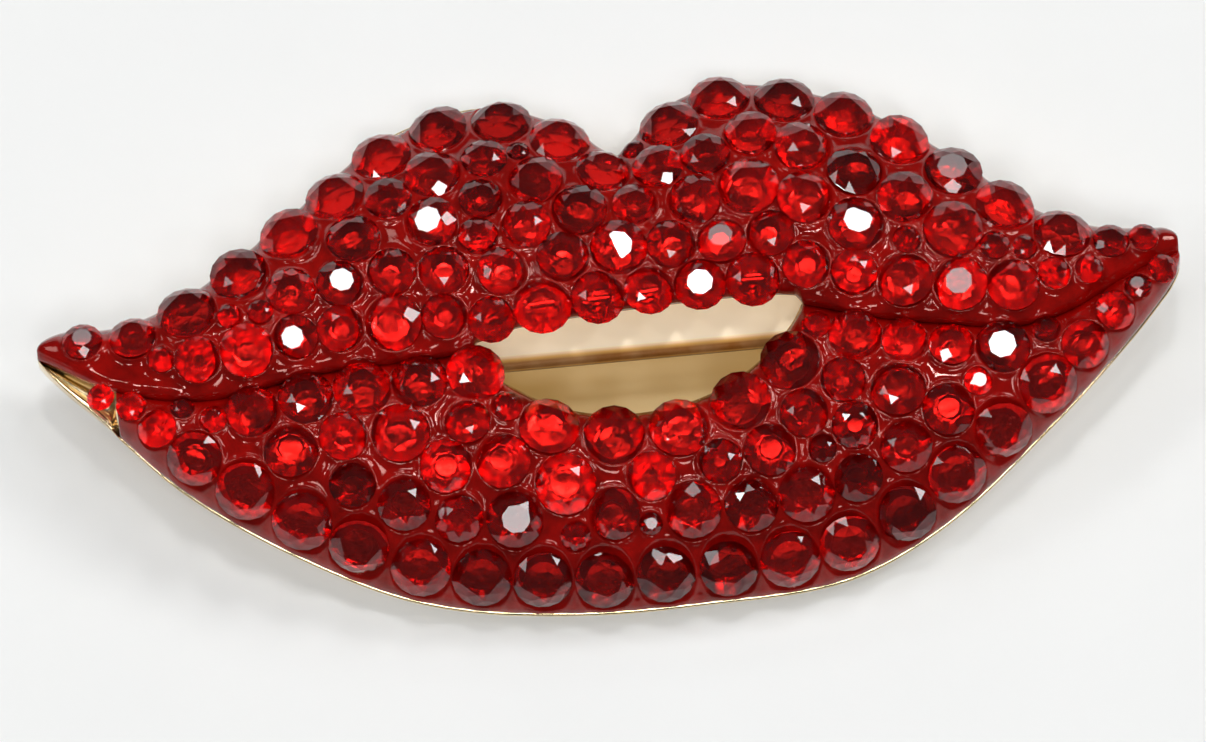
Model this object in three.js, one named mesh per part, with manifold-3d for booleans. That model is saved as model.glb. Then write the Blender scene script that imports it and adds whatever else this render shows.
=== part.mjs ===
// A costume brooch in the shape of a pair of lips: a hollow gold-plated casting, red enamel poured
// into its front, faceted red stones along its edges, and a bar pin behind it with a hinged stem and
// a turning safety catch.
// Millimetres. +X runs along the mouth, +Y towards the upper lip and +Z out of the front. The brooch
// lies on its back: the origin is in the middle of its plan, on the surface it lies on.

import * as THREE from 'three';
import { mergeVertices } from 'three/addons/utils/BufferGeometryUtils.js';
import Module from 'manifold-3d';

const wasm = await Module();
wasm.setup();

// ---- Driving dimensions ------------------------------------------------------------------------------

const HALF_LENGTH = 28.5; // from the middle to either tip
const UPPER_HEIGHT = 11.8; // the upper lip's peaks above the line between the tips
const LOWER_HEIGHT = 14.95; // the lower lip's foot below that line

const ARCH_RISE = 3.6; // the back edge is an arch from the upper lip's peaks to the lower lip's foot
const FOOT_CUT = 0.25; // how much is filed off the arch's two ends, which makes the flat feet
const RIM_HEIGHT = 1.6; // the casting's outer wall, from its back edge to the top of its rim
const RIM_WIDTH = 0.5; // the bare metal edge round the enamel
const WALL = 1.1; // metal under the enamel, and the outer wall's thickness
const ENAMEL = 0.5; // depth of the enamel
const UPPER_SWELL = 2.2; // how far each lip swells above its rim
const LOWER_SWELL = 2.2;
const FULL_SWELL_WIDTH = 8; // a lip this wide, or wider, swells in full
const CREST = 0.55; // where the swell is highest, as a share of the way from the rim to the mouth
const UPPER_INNER_SWELL = 0.85; // the share of the swell that is left at the mouth line
const LOWER_INNER_SWELL = 0.5;
const LIP_OVERLAP = 0.15; // each lip's casting passes the mouth line by this, which joins the two

const MOUTH_LEFT = -0.246; // the mouth's corners, as shares of the half length
const MOUTH_RIGHT = 0.335;
const MOUTH_DEPTH = 5; // the mouth's opening at its widest

const STONE_GAP = 0.14; // between neighbouring stones
const STONE_LARGEST = 2.95;
const STONE_SMALLEST = 1.5;
const STONE_LIP_SHARE = 0.62; // a stone's diameter as a share of a narrow lip's width
const UPPER_STONE_SETBACK = -0.25; // from the outline to the edge stones, which overhang the upper edge
const LOWER_STONE_SETBACK = 0.12;
const MOUTH_STONE_SETBACK = -0.3;
const NARROW_SETBACK = 0.7; // how much further in a stone of the smallest size lies than one of the largest
const STONE_PROUD = 0.12; // the girdle's height above the enamel
const STONE_SEAT_CLEARANCE = 0.06;
const CROWN_ANGLE = 38; // degrees, from the table to the girdle
const PAVILION_ANGLE = 39; // degrees, from the girdle to the point
const TABLE_SHARE = 0.5; // the flat table's width as a share of the stone's

const PART_GAP = 0.05; // between pieces that are glued, soldered or riveted together
const BAR_Y = -0.35; // the pin bar's middle
const BAR_MIDDLE = 1.2;
const BAR_LENGTH = 30.2;
const BAR_WIDTH = 4.6;
const BAR_THICKNESS = 0.8;
const BAR_EDGE_RADIUS = 0.7;
const BAR_CLEARANCE = 0.254; // between the bar's front and the casting over it
const BOSS_SIZE = 3.2; // the casting's two pads that the bar is soldered to
const BOSS_END_MARGIN = 2.4; // from the bar's end to the boss
const SOLDER_THICKNESS = 0.22;
const SOLDER_SPREAD = 0.35; // how far the solder runs out round the boss
const JOIN_OVERLAP = 0.1; // how far two shapes run into each other where they are joined into one piece
const CURVE_SEGMENTS = 10; // straight edges that stand for one drawn arc

const STEM_RADIUS = 0.4;
const CLOTH_ROOM = 1.2; // between the bar's back and the stem
const STEM_POINT_LENGTH = 3.5;
const STEM_PAST_CATCH = 2.4;
const STEM_EYE_RADIUS = 0.95;
const STEM_EYE_THICKNESS = 0.9;
const RIVET_RADIUS = 0.35;
const RIVET_CLEARANCE = 0.05;
const RIVET_HEAD_RADIUS = 0.62;
const RIVET_HEAD_THICKNESS = 0.28;
const HINGE_END_MARGIN = 2.7; // from the bar's end to the pivot
const HINGE_EAR_THICKNESS = 0.45;
const HINGE_EAR_RADIUS = 1.1;
const HINGE_SIDE_PLAY = 0.08;
const HINGE_BASE_LENGTH = 3.2;
const BASE_THICKNESS = 0.35; // the hinge's and the catch's foot plates

const CATCH_END_MARGIN = 2.9; // from the bar's end to the catch's middle
const CATCH_BORE_CLEARANCE = 0.1; // round the stem, inside the catch's rotor
const CATCH_ROTOR_WALL = 0.36;
const CATCH_TURN_CLEARANCE = 0.05; // between the rotor and its housing
const CATCH_HOUSING_WALL = 0.32;
const CATCH_HOUSING_LENGTH = 1.7;
const CATCH_BASE_LENGTH = 2.8;
const CATCH_SLOT_CLEARANCE = 0.12; // on each side of the stem as it passes through the slots
const CATCH_FLANGE_THICKNESS = 0.4;
const CATCH_FLANGE_RISE = 0.2;
const CATCH_TAB_LENGTH = 1.3;
const CATCH_TAB_THICKNESS = 0.5;

// ---- Materials ---------------------------------------------------------------------------------------

const gold = new THREE.MeshStandardMaterial({ color: 0xe0bd78, roughness: 0.22, metalness: 1 });
const solderMetal = new THREE.MeshStandardMaterial({ color: 0xb9b2a2, roughness: 0.45, metalness: 1 });
const steel = new THREE.MeshStandardMaterial({ color: 0xd8c493, roughness: 0.25, metalness: 1 });
const enamel = new THREE.MeshStandardMaterial({ color: 0x8a0710, roughness: 0.12, metalness: 0 });
const redGlass = new THREE.MeshStandardMaterial({ color: 0xb50a10, roughness: 0.05, metalness: 0 });

const brooch = new THREE.Group();

function addPiece(name, geometry, material) {
  const piece = new THREE.Mesh(geometry, material);
  piece.name = name;
  brooch.add(piece);
  return piece;
}

// ---- Solids ------------------------------------------------------------------------------------------

// A closed geometry as a manifold-3d solid, turned so that its faces point out.
function solid(geometry) {
  const bare = new THREE.BufferGeometry();
  const source = geometry.index ? geometry.toNonIndexed() : geometry;
  bare.setAttribute('position', source.getAttribute('position'));
  const merged = mergeVertices(bare, 1e-4);
  const corners = merged.index.array;
  const build = (triVerts) => new wasm.Manifold(
    new wasm.Mesh({ numProp: 3, vertProperties: merged.attributes.position.array, triVerts }),
  );
  const made = build(new Uint32Array(corners));
  return made.volume() > 0 ? made : build(new Uint32Array(corners).reverse());
}

// The largest body of a solid, as a geometry: cuts that meet can leave loose slivers behind.
function geometryOf(made) {
  const bodies = made.decompose();
  bodies.sort((a, b) => b.volume() - a.volume());
  const mesh = bodies[0].getMesh();
  const geometry = new THREE.BufferGeometry();
  geometry.setAttribute('position', new THREE.BufferAttribute(mesh.vertProperties, 3));
  geometry.setIndex(new THREE.BufferAttribute(mesh.triVerts, 1));
  return geometry;
}

// A closed skin through a row of cross-sections in planes of constant x. Each ring has the same
// number of points, anticlockwise when it is seen from +X, and the rings go towards +X.
function loft(rings) {
  const count = rings[0].length;
  const positions = rings.flat().flatMap((p) => [p.x, p.y, p.z]);
  const index = [];
  for (let i = 0; i + 1 < rings.length; i++) {
    for (let j = 0; j < count; j++) {
      const a = i * count + j;
      const b = i * count + ((j + 1) % count);
      index.push(a, b, a + count, b, b + count, a + count);
    }
  }
  const flat = (ring) => ring.map((p) => new THREE.Vector2(p.y, p.z));
  const capOf = (ring) => THREE.ShapeUtils.triangulateShape(flat(ring), []);
  const last = (rings.length - 1) * count;
  for (const [a, b, c] of capOf(rings[0])) index.push(c, b, a);
  for (const [a, b, c] of capOf(rings[rings.length - 1])) index.push(last + a, last + b, last + c);
  const geometry = new THREE.BufferGeometry();
  geometry.setAttribute('position', new THREE.Float32BufferAttribute(positions, 3));
  geometry.setIndex(index);
  return geometry;
}

// A box between two corners.
function box([x0, y0, z0], [x1, y1, z1]) {
  const geometry = new THREE.BoxGeometry(x1 - x0, y1 - y0, z1 - z0);
  return geometry.translate((x0 + x1) / 2, (y0 + y1) / 2, (z0 + z1) / 2);
}

// A cylinder from one y to another, round the axis (x, z).
function cylinderAlongY(x, z, radius, from, to, sides = 20) {
  const geometry = new THREE.CylinderGeometry(radius, radius, to - from, sides);
  return geometry.translate(x, (from + to) / 2, z);
}

// An outline drawn in (y, z), extruded from one x to another.
function extrudeAlongX(shape, from, to, curveSegments = 12) {
  const settings = { depth: to - from, bevelEnabled: false, curveSegments };
  const geometry = new THREE.ExtrudeGeometry(shape, settings);
  const turn = new THREE.Matrix4().makeBasis(
    new THREE.Vector3(0, 1, 0), new THREE.Vector3(0, 0, 1), new THREE.Vector3(1, 0, 0),
  );
  return geometry.applyMatrix4(turn).translate(from, 0, 0);
}

// ---- The lips' outlines and surface ------------------------------------------------------------------

// A smooth curve y(x) through knots: a cubic over each span, whose slope at a knot is the chord
// between the knots beside it.
function smoothCurve(knots) {
  const slopes = knots.map((_, i) => {
    const [x0, y0] = knots[Math.max(i - 1, 0)];
    const [x1, y1] = knots[Math.min(i + 1, knots.length - 1)];
    return (y1 - y0) / (x1 - x0);
  });
  return (x) => {
    let i = knots.findIndex(([knotX]) => knotX > x) - 1;
    if (i < 0) i = x < knots[0][0] ? 0 : knots.length - 2;
    const [x0, y0] = knots[i];
    const [x1, y1] = knots[i + 1];
    const span = x1 - x0;
    const s = THREE.MathUtils.clamp((x - x0) / span, 0, 1);
    const rest = 1 - s;
    return rest * rest * (1 + 2 * s) * y0 + s * s * (3 - 2 * s) * y1
      + s * rest * (rest * slopes[i] - s * slopes[i + 1]) * span;
  };
}

const scaled = (knots, height) => knots.map(([x, y]) => [x * HALF_LENGTH, y * height]);

// The upper lip's outline is two lobes that meet in the notch. Its knots are shares of the half
// length and of the upper height, and the others' are shares of the half length and of the lower
// height.
const NOTCH = [0.04, 0.686];
const leftLobe = smoothCurve(scaled([
  [-1, 0.115], [-0.85, 0.103], [-0.71, 0.242], [-0.54, 0.545], [-0.365, 0.886], [-0.193, 1],
  [-0.063, 0.895], NOTCH,
], UPPER_HEIGHT));
const rightLobe = smoothCurve(scaled([
  NOTCH, [0.147, 0.934], [0.263, 1], [0.439, 0.873], [0.604, 0.589], [0.754, 0.264], [0.86, 0.15],
  [1, 0.11],
], UPPER_HEIGHT));
const lowerCurve = smoothCurve(scaled([
  [-1, -0.05], [-0.92, -0.2], [-0.77, -0.495], [-0.575, -0.742], [-0.37, -0.915], [-0.12, -0.993],
  [0.12, -1], [0.37, -0.966], [0.56, -0.815], [0.765, -0.522], [0.9, -0.29], [1, -0.087],
], LOWER_HEIGHT));
const mouthLine = smoothCurve(scaled([
  [-1, 0], [-0.868, -0.147], [-0.71, -0.209], [-0.505, -0.157], [-0.246, -0.134], [-0.16, -0.094],
  [0.04, -0.067], [0.26, -0.059], [0.335, -0.074], [0.44, -0.133], [0.6, -0.192], [0.7, -0.214],
  [0.8, -0.172], [0.92, -0.054], [1, 0],
], LOWER_HEIGHT));

// The tips are rounded off: over the last stretch the outline closes in on the mouth line as a
// quarter circle does, down to a flat end.
const LEFT_TIP = { round: 1.9, flat: 0.2 };
const RIGHT_TIP = { round: 0.8, flat: 0.6 };
function tipShare(x) {
  const { round, flat } = x < 0 ? LEFT_TIP : RIGHT_TIP;
  const s = THREE.MathUtils.clamp(1 - (HALF_LENGTH - Math.abs(x)) / round, 0, 1);
  return flat + (1 - flat) * Math.sqrt(1 - s * s);
}

// The mouth opens below the mouth line as a flattened half ellipse.
function mouthGap(x) {
  const left = MOUTH_LEFT * HALF_LENGTH;
  const right = MOUTH_RIGHT * HALF_LENGTH;
  const s = Math.abs((2 * (x - left)) / (right - left) - 1);
  return s < 1 ? MOUTH_DEPTH * (1 - s ** 2.2) ** 0.75 : 0;
}

const upperLip = {
  side: 1,
  outer: (x) => {
    const edge = x < NOTCH[0] * HALF_LENGTH ? leftLobe(x) : rightLobe(x);
    return mouthLine(x) + (edge - mouthLine(x)) * tipShare(x);
  },
  inner: (x) => mouthLine(x),
  swell: UPPER_SWELL,
  innerSwell: UPPER_INNER_SWELL,
};
const lowerLip = {
  side: -1,
  outer: (x) => mouthLine(x) + (lowerCurve(x) - mouthLine(x)) * tipShare(x),
  inner: (x) => mouthLine(x) - mouthGap(x),
  swell: LOWER_SWELL,
  innerSwell: LOWER_INNER_SWELL,
};

// The casting's back edge: an arch over the pin, with its two ends filed flat.
function backHeight(y) {
  const middle = (UPPER_HEIGHT - LOWER_HEIGHT) / 2;
  const s = (y - middle) / ((UPPER_HEIGHT + LOWER_HEIGHT) / 2);
  return Math.max(0, ARCH_RISE * (1 - s * s) - FOOT_CUT);
}

// The front surface of a lip, where the enamel's top lies.
function frontHeight(lip, x, y) {
  const outer = lip.outer(x);
  const width = lip.inner(x) - outer;
  const t = THREE.MathUtils.clamp((y - outer) / width, 0, 1);
  const swell = lip.swell * Math.min(1, Math.sqrt(Math.abs(width) / FULL_SWELL_WIDTH));
  const towardsRim = ((CREST - t) / CREST) ** 2;
  const towardsMouth = (1 - lip.innerSwell) * ((t - CREST) / (1 - CREST)) ** 2;
  const fall = t < CREST ? towardsRim : towardsMouth;
  return backHeight(y) + RIM_HEIGHT + swell * (1 - fall);
}

function slopeOf(curve, x) {
  const step = 0.05;
  const from = Math.max(x - step, -HALF_LENGTH);
  const to = Math.min(x + step, HALF_LENGTH);
  return (curve(to) - curve(from)) / (to - from);
}

// A distance across the rim, measured along y where the outline runs at a slant, and at most a share
// of the lip.
function acrossRim(lip, x, distance, mostShare) {
  const slant = Math.min(Math.hypot(1, slopeOf(lip.outer, x)), 1.8);
  return Math.min(distance * slant, mostShare * Math.abs(lip.inner(x) - lip.outer(x)));
}

// ---- The casting -------------------------------------------------------------------------------------

const STATIONS = stations();

// The x of each cross-section: close together at the tips, with one on the notch and one on each
// mouth corner.
function stations() {
  const half = 16;
  const xs = [];
  for (let i = -half; i <= half; i++) xs.push(HALF_LENGTH * Math.sin((Math.PI / 2) * (i / half)));
  for (const share of [NOTCH[0], MOUTH_LEFT, MOUTH_RIGHT]) {
    const x = share * HALF_LENGTH;
    const closer = (best, other, i) => (Math.abs(other - x) < Math.abs(xs[best] - x) ? i : best);
    const nearest = xs.reduce(closer, 0);
    xs[nearest] = x;
  }
  return xs;
}

const SHELL = WALL + ENAMEL;

// One lip's metal at x: the outer wall, the rim, the floor of the enamel's recess, the mouth edge and
// the hollow behind.
function castingRing(lip, x) {
  const outer = lip.outer(x);
  const towardsMouth = -lip.side;
  const inner = lip.inner(x) + towardsMouth * LIP_OVERLAP;
  const rimInner = outer + towardsMouth * acrossRim(lip, x, RIM_WIDTH, 0.3);
  const wallInner = outer + towardsMouth * acrossRim(lip, x, WALL, 0.45);
  const between = (from, share) => from + (lip.inner(x) - from) * share;
  const ring = [];
  const put = (y, z) => ring.push(new THREE.Vector3(x, y, z));
  put(outer, backHeight(outer));
  put(outer, frontHeight(lip, x, outer));
  put(rimInner, frontHeight(lip, x, rimInner));
  for (const share of [0, 0.22, 0.5, 0.78]) {
    const y = between(rimInner, share);
    put(y, frontHeight(lip, x, y) - ENAMEL);
  }
  const innerFront = frontHeight(lip, x, lip.inner(x));
  put(inner, innerFront - ENAMEL);
  put(inner, innerFront - SHELL);
  for (const share of [0.7, 0.35, 0]) {
    const y = between(wallInner, share);
    put(y, frontHeight(lip, x, y) - SHELL);
  }
  put(wallInner, backHeight(outer));
  return lip.side > 0 ? ring : ring.reverse();
}

const barEnd = { left: BAR_MIDDLE - BAR_LENGTH / 2, right: BAR_MIDDLE + BAR_LENGTH / 2 };

// The bar lies just under the lowest part of the casting that is over it, and the stem is hung under
// the bar.
const BAR_FRONT = castingOverBar() - BAR_CLEARANCE;
const BAR_BACK = BAR_FRONT - BAR_THICKNESS;
const STEM_HEIGHT = BAR_BACK - CLOTH_ROOM - STEM_RADIUS;

function castingOverBar() {
  const steps = 60;
  const heights = [];
  for (let i = 0; i <= steps; i++) {
    const x = barEnd.left + (BAR_LENGTH * i) / steps;
    const edge = (lip, y) => frontHeight(lip, x, y) - SHELL;
    heights.push(edge(lowerLip, lowerLip.inner(x)), edge(upperLip, upperLip.inner(x)));
    heights.push(edge(lowerLip, BAR_Y - BAR_WIDTH / 2), edge(upperLip, BAR_Y + BAR_WIDTH / 2));
  }
  return Math.min(...heights);
}

const BOSS_BOTTOM = BAR_FRONT + PART_GAP + SOLDER_THICKNESS + PART_GAP;
const bossX = {
  left: barEnd.left + BOSS_END_MARGIN + BOSS_SIZE / 2,
  right: barEnd.right - BOSS_END_MARGIN - BOSS_SIZE / 2,
};

// A pad on the casting's back, square in plan, that ends inside the metal above it.
function boss(x) {
  const half = BOSS_SIZE / 2;
  const floor = [];
  for (const cx of [x - half, x + half]) {
    for (const cy of [BAR_Y - half, BAR_Y + half]) {
      const lip = cy > mouthLine(cx) ? upperLip : lowerLip;
      floor.push(frontHeight(lip, cx, cy) - ENAMEL - WALL / 2);
    }
  }
  return box([x - half, BAR_Y - half, BOSS_BOTTOM], [x + half, BAR_Y + half, Math.min(...floor)]);
}

function casting() {
  let metal = solid(loft(STATIONS.map((x) => castingRing(upperLip, x))));
  metal = metal.add(solid(loft(STATIONS.map((x) => castingRing(lowerLip, x)))));
  for (const x of [bossX.left, bossX.right]) metal = metal.add(solid(boss(x)));
  return metal;
}

// ---- The enamel --------------------------------------------------------------------------------------

const ENAMEL_END = 0.7; // the enamel stops this far short of each tip

function enamelRing(lip, x) {
  const towardsMouth = -lip.side;
  const from = lip.outer(x) + towardsMouth * (acrossRim(lip, x, RIM_WIDTH, 0.3) + PART_GAP * 2);
  const stepBack = lip === lowerLip ? LIP_OVERLAP + PART_GAP : PART_GAP;
  const to = lip.inner(x) - towardsMouth * stepBack;
  const shares = [0, 0.22, 0.5, 0.78, 1];
  const top = [];
  const bottom = [];
  for (const share of shares) {
    const y = from + (to - from) * share;
    const z = frontHeight(lip, x, y);
    top.push(new THREE.Vector3(x, y, z));
    bottom.unshift(new THREE.Vector3(x, y, z - ENAMEL + PART_GAP * 2));
  }
  const ring = [...top, ...bottom];
  return lip.side > 0 ? ring : ring.reverse();
}

function enamelBody(lip) {
  const reach = HALF_LENGTH - ENAMEL_END;
  const xs = [-reach, ...STATIONS.filter((x) => Math.abs(x) < reach - 0.2), reach];
  return solid(loft(xs.map((x) => enamelRing(lip, x))));
}

// ---- The edge stones ---------------------------------------------------------------------------------

const tan = (degrees) => Math.tan(THREE.MathUtils.degToRad(degrees));

// A turned shape with eight sides: its profile runs from the point to the table, in [radius, height]
// pairs.
function eightSided(profile) {
  const points = profile.map(([radius, height]) => new THREE.Vector2(radius, height));
  return new THREE.LatheGeometry(points, 8, Math.PI / 8).rotateX(Math.PI / 2);
}

// A stone with its girdle at z = 0: a point below, and a crown with a flat table above.
function stoneGeometry(diameter) {
  const radius = diameter / 2;
  const crown = radius * (1 - TABLE_SHARE) * tan(CROWN_ANGLE);
  const point = -radius * tan(PAVILION_ANGLE);
  return eightSided([[0, point], [radius, 0], [radius * TABLE_SHARE, crown], [0, crown]]);
}

// The room that is cut for a stone: its lower half with a clearance, open above.
function seatGeometry(diameter) {
  const radius = diameter / 2 + STONE_SEAT_CLEARANCE;
  const above = diameter;
  return eightSided([[0, -radius * tan(PAVILION_ANGLE)], [radius, 0], [radius, above], [0, above]]);
}

// A stone's diameter at x on a lip: the largest stone, or a share of the lip where the lip is narrow.
function stoneDiameter(lip, x) {
  const width = Math.abs(lip.inner(x) - lip.outer(x));
  return THREE.MathUtils.clamp(STONE_LIP_SHARE * width, STONE_SMALLEST, STONE_LARGEST);
}

// Places a stone on a lip: the axis leans half way from straight up to the surface's own normal.
function seatMatrix(lip, x, y) {
  const step = 0.2;
  const slopeX = (frontHeight(lip, x + step, y) - frontHeight(lip, x - step, y)) / (2 * step);
  const slopeY = (frontHeight(lip, x, y + step) - frontHeight(lip, x, y - step)) / (2 * step);
  const normal = new THREE.Vector3(-slopeX, -slopeY, 1).normalize();
  const axis = normal.add(new THREE.Vector3(0, 0, 1)).normalize();
  const turn = new THREE.Quaternion().setFromUnitVectors(new THREE.Vector3(0, 0, 1), axis);
  const place = new THREE.Vector3(x, y, frontHeight(lip, x, y) + STONE_PROUD);
  return new THREE.Matrix4().compose(place, turn, new THREE.Vector3(1, 1, 1));
}

// A row of stones along one edge of a lip. They are as large as the lip allows and share out the
// edge's length evenly, each as many times its own pitch from the next.
function stoneRow({ name, lip, edge, inward, setback, from, to, count }) {
  const steps = 400;
  const path = [];
  let pitches = 0;
  for (let i = 0; i <= steps; i++) {
    const x = from + ((to - from) * i) / steps;
    const diameter = stoneDiameter(lip, x);
    const slope = slopeOf(edge, x);
    const normal = new THREE.Vector2(-slope, 1).normalize().multiplyScalar(inward);
    const narrow = (STONE_LARGEST - diameter) / (STONE_LARGEST - STONE_SMALLEST);
    const inset = setback + NARROW_SETBACK * narrow + diameter / 2;
    const at = new THREE.Vector2(x, edge(x)).addScaledVector(normal, inset);
    if (i > 0) pitches += at.distanceTo(path[i - 1].at) / (diameter + STONE_GAP);
    path.push({ at, diameter, pitches });
  }
  const stones = [];
  for (let k = 0; k < count; k++) {
    const wanted = ((k + 0.5) * pitches) / count;
    const { at, diameter } = path.find((p) => p.pitches >= wanted);
    const fitted = (diameter + STONE_GAP) * Math.min(1, pitches / count) - STONE_GAP;
    const number = String(k + 1).padStart(2, '0');
    stones.push({ name: `${name}_${number}`, lip, x: at.x, y: at.y, diameter: fitted });
  }
  return stones;
}

const notchX = NOTCH[0] * HALF_LENGTH;
const edgeStones = [
  ...stoneRow({
    name: 'left_lobe_stone', lip: upperLip, edge: upperLip.outer, inward: -1, setback: UPPER_STONE_SETBACK,
    from: -0.875 * HALF_LENGTH, to: notchX - 0.75, count: 9,
  }),
  ...stoneRow({
    name: 'right_lobe_stone', lip: upperLip, edge: upperLip.outer, inward: -1, setback: UPPER_STONE_SETBACK,
    from: notchX + 0.75, to: 0.915 * HALF_LENGTH, count: 9,
  }),
  ...stoneRow({
    name: 'lower_edge_stone', lip: lowerLip, edge: lowerLip.outer, inward: 1, setback: LOWER_STONE_SETBACK,
    from: -0.9 * HALF_LENGTH, to: 0.93 * HALF_LENGTH, count: 20,
  }),
  ...stoneRow({
    name: 'mouth_stone', lip: lowerLip, edge: lowerLip.inner, inward: -1, setback: MOUTH_STONE_SETBACK,
    from: -0.155 * HALF_LENGTH, to: 0.31 * HALF_LENGTH, count: 5,
  }),
];

function cutSeats(body) {
  const seats = edgeStones.map((stone) => solid(
    seatGeometry(stone.diameter).applyMatrix4(seatMatrix(stone.lip, stone.x, stone.y)),
  ));
  return body.subtract(wasm.Manifold.union(seats));
}

addPiece('lips_casting', geometryOf(cutSeats(casting())), gold);
addPiece('upper_enamel', geometryOf(cutSeats(enamelBody(upperLip))), enamel);
addPiece('lower_enamel', geometryOf(cutSeats(enamelBody(lowerLip))), enamel);
for (const stone of edgeStones) {
  const piece = addPiece(stone.name, geometryOf(solid(stoneGeometry(stone.diameter))), redGlass);
  piece.applyMatrix4(seatMatrix(stone.lip, stone.x, stone.y));
}

// ---- The pin bar and its solder ----------------------------------------------------------------------

// A strip with rounded front edges and round ends.
function pinBar() {
  const half = BAR_WIDTH / 2;
  const radius = BAR_EDGE_RADIUS;
  const profile = new THREE.Shape();
  profile.moveTo(BAR_Y - half, BAR_BACK);
  profile.lineTo(BAR_Y + half, BAR_BACK);
  profile.absarc(BAR_Y + half - radius, BAR_FRONT - radius, radius, 0, Math.PI / 2, false);
  profile.absarc(BAR_Y - half + radius, BAR_FRONT - radius, radius, Math.PI / 2, Math.PI, false);
  const strip = solid(extrudeAlongX(profile, barEnd.left, barEnd.right, 5));
  const plan = new THREE.Shape();
  plan.absarc(barEnd.left + half, BAR_Y, half, Math.PI / 2, (3 * Math.PI) / 2, false);
  plan.absarc(barEnd.right - half, BAR_Y, half, -Math.PI / 2, Math.PI / 2, false);
  const deep = 2 * BAR_THICKNESS;
  const ends = new THREE.ExtrudeGeometry(plan, { depth: deep, bevelEnabled: false, curveSegments: 10 });
  return strip.intersect(solid(ends.translate(0, 0, BAR_FRONT - BAR_THICKNESS / 2 - deep / 2)));
}

function solderPad(x) {
  const half = BOSS_SIZE / 2 + SOLDER_SPREAD;
  const pad = new THREE.Shape();
  pad.absellipse(x, BAR_Y, half * 1.15, half * 0.98, 0, 2 * Math.PI, false, 0);
  const settings = { depth: SOLDER_THICKNESS, bevelEnabled: false, curveSegments: CURVE_SEGMENTS };
  const geometry = new THREE.ExtrudeGeometry(pad, settings);
  return geometry.translate(0, 0, BAR_FRONT + PART_GAP);
}

addPiece('pin_bar', geometryOf(pinBar()), gold);
addPiece('left_solder', geometryOf(solid(solderPad(bossX.left))), solderMetal);
addPiece('right_solder', geometryOf(solid(solderPad(bossX.right))), solderMetal);

// ---- The hinge and the stem --------------------------------------------------------------------------

const HINGE_X = barEnd.left + HINGE_END_MARGIN;
const BASE_TOP = BAR_BACK - PART_GAP;
const BASE_BOTTOM = BASE_TOP - BASE_THICKNESS;
const EAR_INNER = STEM_EYE_THICKNESS / 2 + HINGE_SIDE_PLAY;
const EAR_OUTER = EAR_INNER + HINGE_EAR_THICKNESS;
const RIVET_HOLE = RIVET_RADIUS + RIVET_CLEARANCE;

// An ear of the hinge: round at the pivot, and widening into the foot plate.
function hingeEar(from, to) {
  const ear = new THREE.Shape();
  const half = HINGE_EAR_RADIUS;
  ear.absarc(HINGE_X, -STEM_HEIGHT, half, 0, Math.PI, false);
  ear.lineTo(HINGE_X - half, -BASE_TOP);
  ear.lineTo(HINGE_X + half, -BASE_TOP);
  const settings = { depth: to - from, bevelEnabled: false, curveSegments: CURVE_SEGMENTS };
  const geometry = new THREE.ExtrudeGeometry(ear, settings);
  return geometry.rotateX(-Math.PI / 2).translate(0, BAR_Y + from, 0);
}

function hingeBracket() {
  const half = HINGE_BASE_LENGTH / 2;
  const plate = box(
    [HINGE_X - half, BAR_Y - EAR_OUTER, BASE_BOTTOM],
    [HINGE_X + half, BAR_Y + EAR_OUTER, BASE_TOP],
  );
  let bracket = solid(plate);
  for (const [from, to] of [[-EAR_OUTER, -EAR_INNER], [EAR_INNER, EAR_OUTER]]) {
    bracket = bracket.add(solid(hingeEar(from, to)));
  }
  const reach = 2 * EAR_OUTER;
  const hole = cylinderAlongY(HINGE_X, STEM_HEIGHT, RIVET_HOLE, BAR_Y - reach, BAR_Y + reach, 16);
  return bracket.subtract(solid(hole));
}

function hingeRivet() {
  const end = EAR_OUTER + PART_GAP;
  const reach = end + JOIN_OVERLAP;
  const shaft = cylinderAlongY(HINGE_X, STEM_HEIGHT, RIVET_RADIUS, BAR_Y - reach, BAR_Y + reach, 16);
  let rivet = solid(shaft);
  for (const side of [-1, 1]) {
    const from = side > 0 ? BAR_Y + end : BAR_Y - end - RIVET_HEAD_THICKNESS;
    const to = from + RIVET_HEAD_THICKNESS;
    const head = cylinderAlongY(HINGE_X, STEM_HEIGHT, RIVET_HEAD_RADIUS, from, to, 16);
    rivet = rivet.add(solid(head));
  }
  return rivet;
}

const CATCH_X = barEnd.right - CATCH_END_MARGIN;
const STEM_END = CATCH_X + STEM_PAST_CATCH;

// The stem is a wire with a sharpened point, and a flattened, pierced eye at the hinge.
function pinStem() {
  const profile = [
    new THREE.Vector2(0, 0),
    new THREE.Vector2(STEM_RADIUS, 0),
    new THREE.Vector2(STEM_RADIUS, STEM_END - HINGE_X - STEM_POINT_LENGTH),
    new THREE.Vector2(STEM_RADIUS * 0.6, STEM_END - HINGE_X - STEM_POINT_LENGTH * 0.35),
    new THREE.Vector2(0, STEM_END - HINGE_X),
  ];
  const wire = new THREE.LatheGeometry(profile, 12).rotateZ(-Math.PI / 2);
  wire.translate(HINGE_X, BAR_Y, STEM_HEIGHT);
  const half = STEM_EYE_THICKNESS / 2;
  const eye = cylinderAlongY(HINGE_X, STEM_HEIGHT, STEM_EYE_RADIUS, BAR_Y - half, BAR_Y + half, 20);
  const hole = cylinderAlongY(HINGE_X, STEM_HEIGHT, RIVET_HOLE, BAR_Y - 2 * half, BAR_Y + 2 * half, 16);
  return solid(wire).add(solid(eye)).subtract(solid(hole));
}

addPiece('hinge_bracket', geometryOf(hingeBracket()), gold);
addPiece('hinge_rivet', geometryOf(hingeRivet()), gold);
addPiece('pin_stem', geometryOf(pinStem()), steel);

// ---- The safety catch --------------------------------------------------------------------------------

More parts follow.
